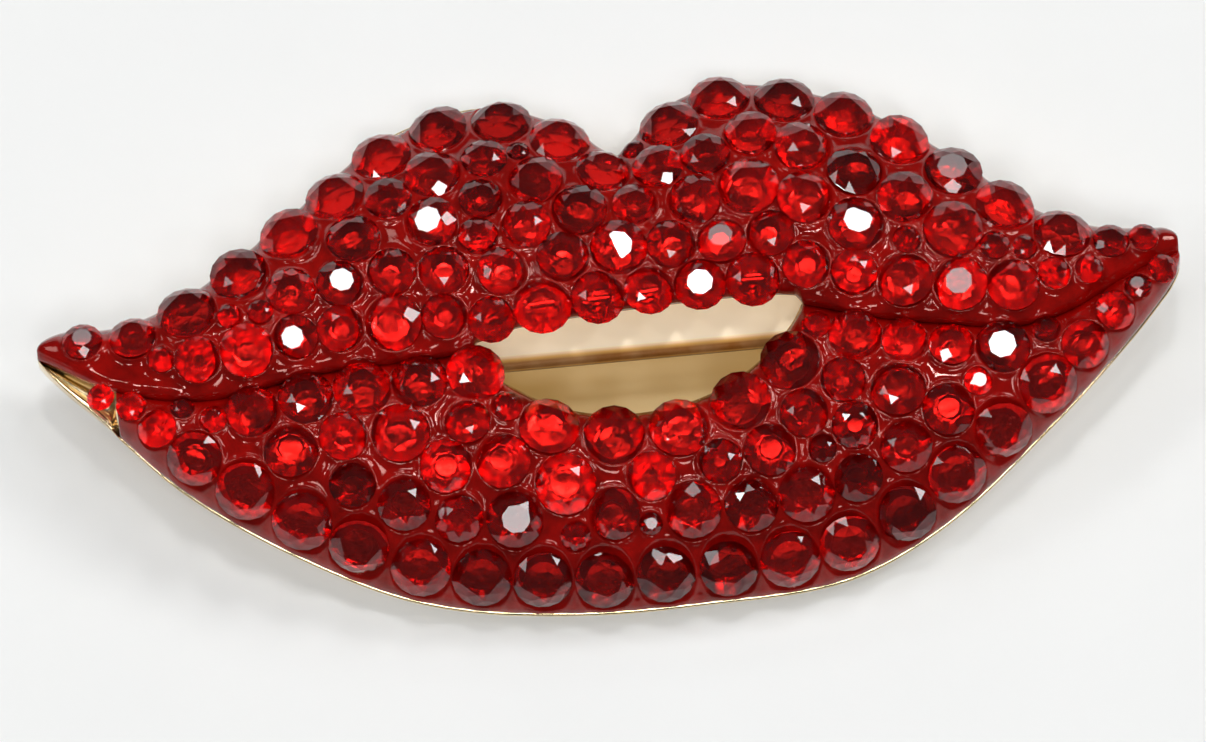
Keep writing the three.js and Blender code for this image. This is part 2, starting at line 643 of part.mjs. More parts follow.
const CATCH_BORE = STEM_RADIUS + CATCH_BORE_CLEARANCE;
const ROTOR_RADIUS = CATCH_BORE + CATCH_ROTOR_WALL;
const HOUSING_BORE = ROTOR_RADIUS + CATCH_TURN_CLEARANCE;
const HOUSING_RADIUS = HOUSING_BORE + CATCH_HOUSING_WALL;
const SLOT_HALF = STEM_RADIUS + CATCH_SLOT_CLEARANCE;

// A ring round the stem's axis with a slot of the given half width straight down.
function slottedRing(inner, outer, slotHalf, from, to) {
  const bottom = -Math.PI / 2;
  const outerHalf = Math.asin(slotHalf / outer);
  const innerHalf = Math.asin(Math.min(1, slotHalf / inner));
  const ring = new THREE.Shape();
  ring.absarc(BAR_Y, STEM_HEIGHT, outer, bottom + outerHalf, bottom + 2 * Math.PI - outerHalf, false);
  ring.absarc(BAR_Y, STEM_HEIGHT, inner, bottom + 2 * Math.PI - innerHalf, bottom + innerHalf, true);
  return solid(extrudeAlongX(ring, from, to, 14));
}

function catchHousing() {
  const half = CATCH_HOUSING_LENGTH / 2;
  const ring = slottedRing(HOUSING_BORE, HOUSING_RADIUS, SLOT_HALF, CATCH_X - half, CATCH_X + half);
  const neck = box(
    [CATCH_X - half, BAR_Y - HOUSING_RADIUS * 0.7, STEM_HEIGHT + HOUSING_BORE + CATCH_HOUSING_WALL / 2],
    [CATCH_X + half, BAR_Y + HOUSING_RADIUS * 0.7, BASE_TOP],
  );
  const baseHalf = CATCH_BASE_LENGTH / 2;
  const plate = box(
    [CATCH_X - baseHalf, BAR_Y - HOUSING_RADIUS * 1.1, BASE_BOTTOM],
    [CATCH_X + baseHalf, BAR_Y + HOUSING_RADIUS * 1.1, BASE_TOP],
  );
  return ring.add(solid(neck)).add(solid(plate));
}

// The rotor turns inside the housing, held by a flange at each end, and the outer flange carries the
// thumb tab.
function catchRotor() {
  const half = CATCH_HOUSING_LENGTH / 2 + PART_GAP;
  const end = half + CATCH_FLANGE_THICKNESS;
  const reach = half + JOIN_OVERLAP;
  let rotor = slottedRing(CATCH_BORE, ROTOR_RADIUS, SLOT_HALF, CATCH_X - reach, CATCH_X + reach);
  const flangeRadius = ROTOR_RADIUS + CATCH_FLANGE_RISE;
  for (const from of [CATCH_X - end, CATCH_X + half]) {
    const to = from + CATCH_FLANGE_THICKNESS;
    rotor = rotor.add(slottedRing(CATCH_BORE, flangeRadius, SLOT_HALF, from, to));
  }
  const tab = box(
    [CATCH_X + half, BAR_Y - flangeRadius - CATCH_TAB_LENGTH, STEM_HEIGHT - CATCH_TAB_THICKNESS / 2],
    [CATCH_X + end, BAR_Y - ROTOR_RADIUS, STEM_HEIGHT + CATCH_TAB_THICKNESS / 2],
  );
  return rotor.add(solid(tab));
}

addPiece('catch_housing', geometryOf(catchHousing()), gold);
addPiece('catch_rotor', geometryOf(catchRotor()), gold);

// ---- Into the part's frame ---------------------------------------------------------------------------

const bounds = new THREE.Box3().setFromObject(brooch, true);
brooch.position.set(
  -(bounds.min.x + bounds.max.x) / 2,
  -(bounds.min.y + bounds.max.y) / 2,
  -bounds.min.z,
);

export default brooch;
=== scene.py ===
"""A paved lips brooch: glass stones and red enamel in a gold-plated casting, with a hinged pin behind."""

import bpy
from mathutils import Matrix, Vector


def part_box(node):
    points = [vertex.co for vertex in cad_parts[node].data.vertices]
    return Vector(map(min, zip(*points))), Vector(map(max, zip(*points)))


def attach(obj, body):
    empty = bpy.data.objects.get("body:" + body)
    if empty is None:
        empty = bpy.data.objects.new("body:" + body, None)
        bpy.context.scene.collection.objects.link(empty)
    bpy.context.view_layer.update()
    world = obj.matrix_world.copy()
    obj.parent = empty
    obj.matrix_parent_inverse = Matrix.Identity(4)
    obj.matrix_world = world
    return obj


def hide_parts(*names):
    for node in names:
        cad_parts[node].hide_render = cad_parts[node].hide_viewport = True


bl_info = {
    "name": "Lips Brooch",
    "version": (1, 0, 0),
    "blender": (4, 5, 0),
    "location": "3D View > Sidebar > Brooch",
    "description": "Builds the finished surfaces of a paved lips brooch round its frame",
    "category": "Object",
}

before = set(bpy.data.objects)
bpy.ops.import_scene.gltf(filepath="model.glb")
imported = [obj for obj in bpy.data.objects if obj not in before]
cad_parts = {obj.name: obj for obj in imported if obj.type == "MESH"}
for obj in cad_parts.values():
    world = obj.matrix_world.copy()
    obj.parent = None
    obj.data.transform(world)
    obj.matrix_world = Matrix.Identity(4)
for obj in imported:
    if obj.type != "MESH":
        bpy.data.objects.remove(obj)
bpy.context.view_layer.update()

import math

import bpy
import numpy as np
from bpy.props import FloatProperty, FloatVectorProperty, IntProperty, PointerProperty
from bpy.types import Operator, Panel, PropertyGroup
from mathutils import Vector

MM = 0.001
SLOPE_STEP = 0.2 * MM
BAR_LOW, BAR_HIGH = (np.array(corner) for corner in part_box("pin_bar"))
CASTING_LOW, CASTING_HIGH = (np.array(corner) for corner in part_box("lips_casting"))
STONE_NODES = sorted(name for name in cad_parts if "_stone_" in name)

# The pin bar's middle lies this far below the line between the tips, which places that line in the frame.
BAR_BELOW_TIPS = 0.35 * MM
TIP_LINE_Y = (BAR_LOW[1] + BAR_HIGH[1]) / 2 + BAR_BELOW_TIPS


# ---- Sizes and colours that a user may change ----------------------------------------------------


def length(name, description, millimetres):
    """A size that a user may change."""
    return FloatProperty(name=name, description=description, default=millimetres * MM, unit="LENGTH",
                         precision=5)


def colour(name, description, rgb):
    """A colour that a user may change."""
    return FloatVectorProperty(name=name, description=description, default=(*rgb, 1.0), size=4,
                               subtype="COLOR", min=0.0, max=1.0)


class BroochSizes(PropertyGroup):
    """Sizes of the casting and the enamel"""

    half_length: FloatProperty(name="Half length", description="From the middle to either tip",
                               default=CASTING_HIGH[0], unit="LENGTH", precision=5)
    upper_height: length("Upper height", "The upper lip's peaks above the line between the tips", 11.8)
    lower_height: length("Lower height", "The lower lip's foot below the line between the tips", 14.95)
    arch_rise: length("Arch rise", "Rise of the casting's back edge over its two feet", 3.6)
    foot_cut: length("Foot cut", "Metal filed off the two feet", 0.25)
    rim_height: length("Rim height", "The casting's outer wall, from its back edge to its rim", 1.6)
    rim_width: length("Rim width", "Bare metal round the enamel", 0.36)
    wall: length("Wall", "Metal under the enamel", 1.1)
    enamel_depth: length("Enamel depth", "Depth of the enamel at its middle", 0.5)
    swell: length("Swell", "How far each lip swells above its rim", 2.2)
    full_swell_width: length("Full swell width", "A lip this wide swells in full", 8.0)
    mouth_depth: length("Mouth depth", "The mouth's opening at its widest", 5.0)


class StoneSettings(PropertyGroup):
    """Sizes and places of the stones"""

    largest: length("Largest stone", "Diameter of the largest stone between the edge rows", 3.0)
    smallest: length("Smallest stone", "Diameter of the smallest stone", 1.35)
    typical: length("Typical stone", "The middle of the range of diameters", 2.85)
    gap: length("Gap", "Enamel between neighbouring stones", 0.01)
    proud: length("Proud", "Height of a stone's widest part over the enamel", 0.18)
    meniscus: length("Meniscus", "How high the enamel climbs round a stone", 0.2)
    meniscus_width: length("Meniscus width", "How far the climb reaches from a stone", 0.13)
    tilt: FloatProperty(name="Tilt", description="Spread of the stones' leans", default=math.radians(6.5),
                        subtype="ANGLE")
    seed: IntProperty(name="Seed", description="Chooses the arrangement of the stones", default=11, min=0)


class BroochColours(PropertyGroup):
    """Colours of the finishes"""

    gold: colour("Gold plate", "Colour of the plated metal", (0.86, 0.66, 0.36))
    enamel: colour("Enamel", "Colour of the poured enamel", (0.23, 0.002, 0.0012))
    glass: colour("Glass", "Colour of the stones' glass", (0.84, 0.014, 0.016))
    foil: colour("Foil", "Colour of the foil behind the stones", (0.84, 0.31, 0.26))
    floor: colour("Surface", "Colour of the surface under the brooch", (0.76, 0.765, 0.76))


# ---- Curves of the outline -----------------------------------------------------------------------


def smooth_curve(knots):
    """y(x) through knots. Over each span y is a cubic Hermite blend of the span's two ends, and its slope
    at a knot is that of the chord between the knots beside it."""
    xs, ys = np.array(knots, float).T
    slopes = np.empty(len(xs))
    slopes[1:-1] = (ys[2:] - ys[:-2]) / (xs[2:] - xs[:-2])
    slopes[0] = (ys[1] - ys[0]) / (xs[1] - xs[0])
    slopes[-1] = (ys[-1] - ys[-2]) / (xs[-1] - xs[-2])

    def curve(x):
        x = np.asarray(x, float)
        i = np.clip(np.searchsorted(xs, x, side="right") - 1, 0, len(xs) - 2)
        span = xs[i + 1] - xs[i]
        s = np.clip((x - xs[i]) / span, 0, 1)
        rest = 1 - s
        ends = rest**2 * (1 + 2 * s) * ys[i] + s**2 * (3 - 2 * s) * ys[i + 1]
        return ends + s * rest * (rest * slopes[i] - s * slopes[i + 1]) * span

    return curve


# Knots of the outline: x as a share of the half length, and y as a share of the lip's height.
NOTCH = (0.04, 0.686)
LEFT_LOBE = ((-1, 0.115), (-0.85, 0.103), (-0.71, 0.242), (-0.54, 0.545), (-0.365, 0.886), (-0.193, 1),
             (-0.063, 0.895), NOTCH)
RIGHT_LOBE = (NOTCH, (0.147, 0.934), (0.263, 1), (0.439, 0.873), (0.604, 0.589), (0.754, 0.264),
              (0.86, 0.15), (1, 0.11))
LOWER_EDGE = ((-1, -0.05), (-0.92, -0.2), (-0.77, -0.495), (-0.575, -0.742), (-0.37, -0.915),
              (-0.12, -0.993), (0.12, -1), (0.37, -0.966), (0.56, -0.815), (0.765, -0.522), (0.9, -0.29),
              (1, -0.087))
MOUTH_LINE = ((-1, 0), (-0.868, -0.147), (-0.71, -0.209), (-0.505, -0.157), (-0.246, -0.134),
              (-0.16, -0.094), (0.04, -0.067), (0.26, -0.059), (0.335, -0.074), (0.44, -0.133),
              (0.6, -0.192), (0.7, -0.214), (0.8, -0.172), (0.92, -0.054), (1, 0))
MOUTH_CORNERS = (-0.246, 0.335)

# Left and right: how far each tip's rounding reaches, and the share of the lip's width that is left at its
# end.
TIP_ROUND = (1.9 * MM, 0.8 * MM)
TIP_FLAT = (0.2, 0.6)

# Powers of the mouth's flattened half ellipse.
MOUTH_FLATNESS = 2.2
MOUTH_FULLNESS = 0.75

# The mouth counts as open from this depth on. Beside it, stones keep these margins from the mouth line.
MOUTH_RAMP = 0.8 * MM
UPPER_CREASE_MARGIN = 0.28 * MM
LOWER_CREASE_MARGIN = 0.1 * MM

# A lip is highest this share of the way from its outline to the mouth, where it keeps this share of its
# swell.
CREST = 0.55
UPPER_MOUTH_SWELL = 0.85
LOWER_MOUTH_SWELL = 0.5
STEEPEST_SLANT = 1.8


class Lip:
    """One lip's outline and surface. Its places are in the frame, in metres, and its functions take
    arrays."""

    def __init__(self, sizes, upper):
        self.sizes = sizes
        self.upper = upper
        self.inward = -1 if upper else 1
        self.inner_swell = UPPER_MOUTH_SWELL if upper else LOWER_MOUTH_SWELL
        self.left = self.scaled(LEFT_LOBE, sizes.upper_height)
        self.right = self.scaled(RIGHT_LOBE, sizes.upper_height)
        self.below = self.scaled(LOWER_EDGE, sizes.lower_height)
        self.line = self.scaled(MOUTH_LINE, sizes.lower_height)

    def scaled(self, knots, height):
        """The curve through knots given as shares."""
        return smooth_curve([(x * self.sizes.half_length, y * height) for x, y in knots])

    def outer(self, x):
        """The outline, drawn in to the mouth line near the tips as a quarter circle does."""
        x = np.asarray(x, float)
        half = self.sizes.half_length
        upper = np.where(x < NOTCH[0] * half, self.left(x), self.right(x))
        edge = upper if self.upper else self.below(x)
        flat = np.where(x < 0, *TIP_FLAT)
        s = np.clip(1 - (half - np.abs(x)) / np.where(x < 0, *TIP_ROUND), 0, 1)
        share = flat + (1 - flat) * np.sqrt(1 - s**2)
        return TIP_LINE_Y + self.line(x) + (edge - self.line(x)) * share

    def mouth_gap(self, x):
        """Depth of the mouth: a flattened half ellipse between its corners."""
        low, high = (corner * self.sizes.half_length for corner in MOUTH_CORNERS)
        s = np.clip(np.abs(2 * (np.asarray(x, float) - low) / (high - low) - 1), 0, 1)
        return self.sizes.mouth_depth * (1 - s**MOUTH_FLATNESS) ** MOUTH_FULLNESS

    def openness(self, x):
        """0 where the mouth is closed and 1 where it is open, with a ramp at its corners."""
        return np.clip(self.mouth_gap(x) / MOUTH_RAMP, 0, 1)

    def crease(self, x, in_mouth):
        """How far stones keep from the mouth line: a value of its own in the mouth, and a margin beside
        it."""
        closed = UPPER_CREASE_MARGIN if self.upper else LOWER_CREASE_MARGIN
        return np.where(self.mouth_gap(x) > 0, in_mouth, closed)

    def inner(self, x):
        """The mouth's edge: the mouth line on the upper lip, and the far side of the opening on the
        lower."""
        edge = TIP_LINE_Y + self.line(x)
        return edge if self.upper else edge - self.mouth_gap(x)

    def back(self, y):
        """Height of the casting's back edge: a parabola over the two feet, cut off flat at the feet."""
        sizes = self.sizes
        middle = TIP_LINE_Y + (sizes.upper_height - sizes.lower_height) / 2
        s = (y - middle) / ((sizes.upper_height + sizes.lower_height) / 2)
        return np.maximum(0, sizes.arch_rise * (1 - s**2) - sizes.foot_cut)

    def front(self, x, y):
        """Height of the enamel: the rim, plus a swell that falls off as a parabola on each side of its
        crest."""
        outer = self.outer(x)
        width = self.inner(x) - outer
        t = np.clip((y - outer) / width, 0, 1)
        swell = self.sizes.swell * np.minimum(1, np.sqrt(np.abs(width) / self.sizes.full_swell_width))
        towards_rim = ((CREST - t) / CREST) ** 2
        towards_mouth = (1 - self.inner_swell) * ((t - CREST) / (1 - CREST)) ** 2
        fall = np.where(t < CREST, towards_rim, towards_mouth)
        return self.back(y) + self.sizes.rim_height + swell * (1 - fall)

    def across(self, x, distance, most_share):
        """A distance square to the outline, measured along y, and at most a share of the lip's width."""
        step = SLOPE_STEP / 4
        slope = (self.outer(x + step) - self.outer(x - step)) / (2 * step)
        slant = np.minimum(np.hypot(1, slope), STEEPEST_SLANT)
        return np.minimum(distance * slant, most_share * np.abs(self.inner(x) - self.outer(x)))


# ---- Mesh helpers --------------------------------------------------------------------------------


def new_piece(name, points, faces, materials, smooth=True):
    """An object at the origin from points (n, 3) and a list of faces."""
    mesh = bpy.data.meshes.new(name)
    mesh.from_pydata(np.asarray(points).tolist(), [], faces)
    for material in materials:
        mesh.materials.append(material)
    mesh.polygons.foreach_set("use_smooth", np.full(len(mesh.polygons), smooth))
    mesh.update()
    piece = bpy.data.objects.new(name, mesh)
    bpy.context.scene.collection.objects.link(piece)
    return piece


def ring_faces(stations, around):
    """Quads between neighbouring rings, and a face over each end ring."""
    i, j = np.meshgrid(np.arange(stations - 1), np.arange(around), indexing="ij")
    a = i * around + j
    b = i * around + (j + 1) % around
    quads = np.stack([a, b, b + around, a + around], axis=-1).reshape(-1, 4).tolist()
    first = list(range(around))[::-1]
    last = [(stations - 1) * around + k for k in range(around)]
    return quads + [first, last]


def loft(name, rings, materials):
    """A closed skin over rings (stations, points, 3), anticlockwise seen from +X and going towards +X."""
    stations, around = rings.shape[:2]
    return new_piece(name, rings.reshape(-1, 3), ring_faces(stations, around), materials)


def stack_ring(x, columns, upper):
    """Rings from columns of (y, z) arrays, one for each point round the section."""
    rings = np.stack([np.stack([x, y, z], axis=-1) for y, z in columns], axis=1)
    return rings if upper else rings[:, ::-1]


def stations_along(half, count):
    """x from -half to half, closer together at the tips: x = half sin(a), with a evenly spaced."""
    return half * np.sin(np.linspace(-math.pi / 2, math.pi / 2, count))


# ---- Casting -------------------------------------------------------------------------------------

# The lips reach past the mouth line where it is closed, and stand back from it in the mouth.
LIP_OVERLAP = 0.15 * MM
MOUTH_SETBACK = 0.5 * MM
RIM_EDGE = 0.12 * MM
UNDERCUT = 0.5 * MM
MOUTH_UNDERCUT = 0.55 * MM
ENAMEL_OVER_RIM = 0.42 * MM

# The lower lip's left tip has no enamel up to this share of the half length, and its recess is deeper
# there.
BARE_TIP = -0.868
BARE_DEPTH = 0.8 * MM
BARE_RAMP = 0.4 * MM

# At the narrow tips no part of a section takes more than its share of the lip's width.
RIM_SHARE = 0.3
WALL_SHARE = 0.45
UNDERCUT_SHARE = 0.15
MOUTH_UNDERCUT_SHARE = 0.12


def bare_share(lip, x):
    """1 where the lower lip's left tip is left without enamel, and 0 elsewhere, with a short ramp
    between."""
    ramp = np.clip((BARE_TIP * lip.sizes.half_length - x) / BARE_RAMP, 0, 1)
    return np.zeros_like(x) if lip.upper else ramp


def casting_rings(lip):
    """One lip's metal. Each section goes up the outer wall, over the rounded rim, across the recess's
    floor, down the mouth edge and back under the front, at one wall's thickness. Its floor and its back are
    the lip's front lowered by the enamel's depth, and by that and the wall."""
    sizes = lip.sizes
    x = stations_along(sizes.half_length, 321)
    outer = lip.outer(x)
    inner = lip.inner(x)
    open_mouth = lip.openness(x)
    mouth_side = inner + lip.inward * LIP_OVERLAP
    if lip.upper:
        mouth_side = mouth_side - lip.inward * MOUTH_SETBACK * open_mouth
    rim = lip.across(x, sizes.rim_width, RIM_SHARE)
    wall = lip.across(x, sizes.wall, WALL_SHARE)
    rim_inner = outer + lip.inward * rim
    wall_inner = outer + lip.inward * wall
    undercut = lip.inward * lip.across(x, UNDERCUT, UNDERCUT_SHARE)
    base = lip.back(outer)
    bare = bare_share(lip, x)
    top = lip.front(x, outer) - ENAMEL_OVER_RIM * (1 - bare)
    edge = np.minimum(RIM_EDGE, (top - base) * 0.2)
    side = top - base - edge
    columns = [(outer + undercut * (1 - share), base + side * share) for share in (0, 0.06, 0.5, 0.9)]
    columns.append((outer, top - edge))
    for angle in np.linspace(0, math.pi, 9)[1:-1]:
        y = outer + lip.inward * rim * (1 - math.cos(angle)) / 2
        columns.append((y, top - edge + edge * math.sin(angle)))
    columns.append((rim_inner, top - edge))
    floor_y = [rim_inner + (mouth_side - rim_inner) * share for share in np.linspace(0, 1, 16)]
    columns += [(y, lip.front(x, y) - sizes.enamel_depth - BARE_DEPTH * bare) for y in floor_y]
    under_mouth = mouth_side - lip.inward * lip.across(x, MOUTH_UNDERCUT, MOUTH_UNDERCUT_SHARE) * open_mouth
    under_y = [under_mouth + (wall_inner - under_mouth) * share for share in np.linspace(0, 1, 24)]
    shell = sizes.enamel_depth + sizes.wall
    columns += [(y, lip.front(x, y) - shell) for y in under_y]
    inner_side = lip.front(x, wall_inner) - shell - base
    columns += [(wall_inner, base + inner_side * share) for share in (0.5, 0.08, 0)]
    return stack_ring(x, columns, lip.upper)


PAD_SIZE = 3.2 * MM
PAD_CORNER = 0.12 * MM
PAD_SQUARENESS = 8
SOLDER_GAP = 0.05 * MM


def pad_rings(solder, upper, lower):
    """A pad on the casting's back, over one solder joint, that ends inside the metal above it. In plan it
    is a square with rounded corners: x and y, each to the power PAD_SQUARENESS, add up to 1."""
    low, high = (np.array(corner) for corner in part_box(solder))
    middle = (low + high) / 2
    half = PAD_SIZE / 2
    bottom = high[2] + SOLDER_GAP
    side = np.array([-half, half])
    corners = np.meshgrid(middle[0] + side, middle[1] + side)
    corner_x, corner_y = (grid.ravel() for grid in corners)
    in_upper = corner_y > upper.inner(corner_x)
    skin = np.where(in_upper, upper.front(corner_x, corner_y), lower.front(corner_x, corner_y))
    top = skin.min() - upper.sizes.enamel_depth - upper.sizes.wall / 2
    reach = np.sin(np.linspace(-math.pi / 2, math.pi / 2, 41))
    x = middle[0] + half * reach
    width = half * np.maximum(1 - reach**PAD_SQUARENESS, 1e-6) ** (1 / PAD_SQUARENESS)
    left = [(-width, top), (-width, bottom + 2 * PAD_CORNER), (-width, bottom + PAD_CORNER),
            (-width + np.minimum(PAD_CORNER, width / 2), bottom), (-width * 0.8, bottom)]
    profile = left + [(-across, level) for across, level in reversed(left)]
    columns = [(middle[1] + across, np.full_like(x, level)) for across, level in profile]
    return stack_ring(x, columns, True)


class BROOCH_OT_casting(Operator):
    """Makes the two lips' metal and the two pads behind them, which stand for the casting"""

    bl_idname = "brooch.casting"
    bl_label = "Casting"

    def execute(self, context):
        sizes = context.scene.brooch_sizes
        gold = gold_plate(context, "casting_gold", 0.5, (0.12, 0.28), 0.07)
        upper, lower = Lip(sizes, True), Lip(sizes, False)
        shapes = {
            "upper_lip_metal": casting_rings(upper),
            "lower_lip_metal": casting_rings(lower),
            "left_pad": pad_rings("left_solder", upper, lower),
            "right_pad": pad_rings("right_solder", upper, lower),
        }
        for name, rings in shapes.items():
            piece = loft(name, rings, [gold])
            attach(piece, "brooch")
            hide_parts("lips_casting")
        return {"FINISHED"}


# ---- Where the stones lie ------------------------------------------------------------------------

# Set stones touch, so each is a little larger than the place that is worked out for it.
EDGE_STONE_GROWTH = 1.045
FILLING_GROWTH = 1.035
LOWER_EDGE_OVERHANG = 0.26 * MM
ROW_PITCH = 2.72 * MM
NET_JITTER = 0.25 * MM
GRID_STEP = 0.25 * MM
RADIUS_SPREAD = 0.17 * MM
SETTLING_STEPS = 260
OCTAGON_FLAT = math.cos(math.radians(22.5))

# The row along the mouth: its ends as shares of the half length, the share of the lip's width that a radius
# may be, the part of the typical size, the spread of its sizes, and how far it hangs into the mouth.
ROW_ENDS = (-0.86, 0.93)
ROW_WIDTH_SHARE = 0.3
ROW_TYPICAL_SHARE = 0.46
ROW_SIZES = (0.85, 1.1)
UPPER_ROW_OVERHANG = 0.5 * MM
LOWER_ROW_OVERHANG = 0.2 * MM
EDGE_GIVE = 0.15 * MM


def edge_stones(lower_lip):
    """Centres and radii of the CAD stones, which keep the two outlines and the mouth's edge. Those on the
    lower outline overhang it a little, square to it."""
    low, high = (np.array([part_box(name)[end] for name in STONE_NODES])[:, :2] for end in (0, 1))
    centres = (low + high) / 2
    radii = (high - low).max(axis=1) / 2 / OCTAGON_FLAT * EDGE_STONE_GROWTH
    step = SLOPE_STEP
    x = centres[:, 0]
    slope = (lower_lip.outer(x + step) - lower_lip.outer(x - step)) / (2 * step)
    outwards = np.stack([slope, -np.ones(len(x))], axis=1) / np.hypot(1, slope)[:, None]
    on_lower_edge = np.array(["lower_edge" in name for name in STONE_NODES])
    return centres + outwards * LOWER_EDGE_OVERHANG * on_lower_edge[:, None], radii


def edge_points(lip, margin):
    """Points along the lip's two edges, each moved into the lip by the margin, and by more at the
    crease."""
    x = np.linspace(-lip.sizes.half_length, lip.sizes.half_length, 900)
    outer = np.stack([x, lip.outer(x) + lip.inward * margin], axis=1)
    inner = np.stack([x, lip.inner(x) - lip.inward * (margin + lip.crease(x, -EDGE_GIVE))], axis=1)
    return np.concatenate([outer, inner])


def spacing(a, b):
    """The offset and the distance of every point of a from every point of b."""
    apart = a[:, None] - b[None]
    return apart, np.maximum(np.linalg.norm(apart, axis=2), 1e-9)


def settle(centres, radii, fixed, fixed_radii, edges, gap):
    """Pushes overlapping stones apart, away from the fixed ones and back from the edges, a step at a
    time."""
    for _ in range(SETTLING_STEPS):
        apart, distance = spacing(centres, centres)
        np.fill_diagonal(distance, 1.0)
        over = np.maximum(radii[:, None] + radii[None] + gap - distance, 0)
        move = (apart / distance[..., None] * over[..., None] * 0.5).sum(1)
        apart, distance = spacing(centres, fixed)
        over = np.maximum(radii[:, None] + fixed_radii[None] + gap - distance, 0)
        move += (apart / distance[..., None] * over[..., None]).sum(1)
        apart, distance = spacing(centres, edges)
        nearest = distance.argmin(1)
        rows = np.arange(len(centres))
        over = np.maximum(radii - distance[rows, nearest], 0)
        move += apart[rows, nearest] / distance[rows, nearest][:, None] * over[:, None]
        centres = centres + 0.5 * move
    return centres


def room_at(points, centres, radii, edges, gap):
    """The radius of the largest stone that fits at each point."""
    room = (spacing(points, centres)[1] - radii[None]).min(1) - gap
    return np.minimum(room, spacing(points, edges)[1].min(1))


def inside(lip, points, margin):
    """Whether each point is in the lip, at least a margin from its edges."""
    x, y = points.T
    outer = lip.outer(x) + lip.inward * margin
    inner = lip.inner(x) - lip.inward * margin
    return (y - outer) * (y - inner) < 0


def mouth_row(lip, settings, fixed, fixed_radii, random):
    """Stones side by side along the lip's mouth edge, each as large as the lip's width allows."""
    x = np.linspace(ROW_ENDS[0] * lip.sizes.half_length, ROW_ENDS[1] * lip.sizes.half_length, 1600)
    width = np.abs(lip.inner(x) - lip.outer(x))
    radius = np.clip(ROW_WIDTH_SHARE * width, settings.smallest / 2, ROW_TYPICAL_SHARE * settings.typical)
    slope = np.gradient(lip.inner(x), x)
    into_lip = -lip.inward * np.stack([-slope, np.ones_like(x)], axis=1) / np.hypot(1, slope)[:, None]
    margin = lip.crease(x, -UPPER_ROW_OVERHANG if lip.upper else -LOWER_ROW_OVERHANG)
    places = np.stack([x, lip.inner(x)], axis=1) + into_lip * (radius + margin)[:, None]
    room = (spacing(places, fixed)[1] - fixed_radii[None]).min(1)
    centres, radii = [], []
    size = random.uniform(*ROW_SIZES)
    for place, largest, space in zip(places, radius, room):
        wanted = min(largest * size, space)
        if wanted < settings.smallest / 2:
            continue
        if centres and np.hypot(*(place - centres[-1])) < radii[-1] + wanted + settings.gap:
            continue
        centres.append(place)
        radii.append(wanted)
        size = random.uniform(*ROW_SIZES)
    return np.array(centres), np.array(radii)


def shrink(centres, radii, fixed, fixed_radii, edges, gap):
    """Every stone that still overlaps another gives up its share, and one over an edge stone all of it."""
    distance = spacing(centres, centres)[1]
    np.fill_diagonal(distance, 1.0)
    share = ((distance - gap) / (radii[:, None] + radii[None])).min(1)
    radii = radii * np.minimum(share, 1)
    return np.minimum(radii, room_at(centres, fixed, fixed_radii, edges, gap))


def fill_lip(lip, settings, fixed, fixed_radii, random):
    """A row along the mouth's edge, then stones of mixed sizes that start on a jittered hexagonal net,
    settle, and give up what still overlaps. The holes that are left take small ones."""
    row, row_radii = mouth_row(lip, settings, fixed, fixed_radii, random)
    fixed, fixed_radii = np.concatenate([fixed, row]), np.concatenate([fixed_radii, row_radii])
    half = lip.sizes.half_length
    columns = np.arange(-half, half, ROW_PITCH)
    rows = np.arange(CASTING_LOW[1], CASTING_HIGH[1], ROW_PITCH * math.sin(math.radians(60)))
    x, y = np.meshgrid(columns, rows)
    x = x + (np.arange(len(rows)) % 2)[:, None] * ROW_PITCH / 2
    net = np.stack([x.ravel(), y.ravel()], axis=1)
    net = net + random.normal(0, NET_JITTER, net.shape)
    edges = edge_points(lip, settings.gap)
    smallest, largest = settings.smallest / 2, settings.largest / 2
    net = net[inside(lip, net, 0.0)]
    net = net[room_at(net, fixed, fixed_radii, edges, settings.gap) > smallest * 0.45]
    radii = np.clip(random.normal(settings.typical / 2, RADIUS_SPREAD, len(net)), smallest, largest)
    centres = settle(net, radii, fixed, fixed_radii, edges, settings.gap)
    radii = shrink(centres, radii, fixed, fixed_radii, edges, settings.gap)
    keep = inside(lip, centres, 0.0) & (radii > smallest * 0.9)
    centres, radii = centres[keep], radii[keep]
    for index in range(len(centres)):
        others = np.arange(len(centres)) != index
        all_centres = np.concatenate([centres[others], fixed])
        all_radii = np.concatenate([radii[others], fixed_radii])
        room = room_at(centres[index:index + 1], all_centres, all_radii, edges, settings.gap)[0]
        radii[index] = min(max(room, radii[index]), largest)
    grid_y = np.arange(CASTING_LOW[1], CASTING_HIGH[1], GRID_STEP)
    x, y = np.meshgrid(np.arange(-half, half, GRID_STEP), grid_y)
    grid = np.stack([x.ravel(), y.ravel()], axis=1)
    grid = grid[inside(lip, grid, smallest * 0.8)]
    all_centres, all_radii = np.concatenate([centres, fixed]), np.concatenate([radii, fixed_radii])
    room = room_at(grid, all_centres, all_radii, edges, settings.gap)
    while room.max() > smallest * 0.85:
        best = room.argmax()
        radius = min(room[best], settings.typical / 2)
        centres = np.concatenate([centres, grid[best:best + 1]])
        radii = np.append(radii, radius)
        reach = np.linalg.norm(grid - grid[best], axis=1) - radius - settings.gap
        room = np.minimum(room, reach)
    return np.concatenate([row, centres]), np.concatenate([row_radii, radii])


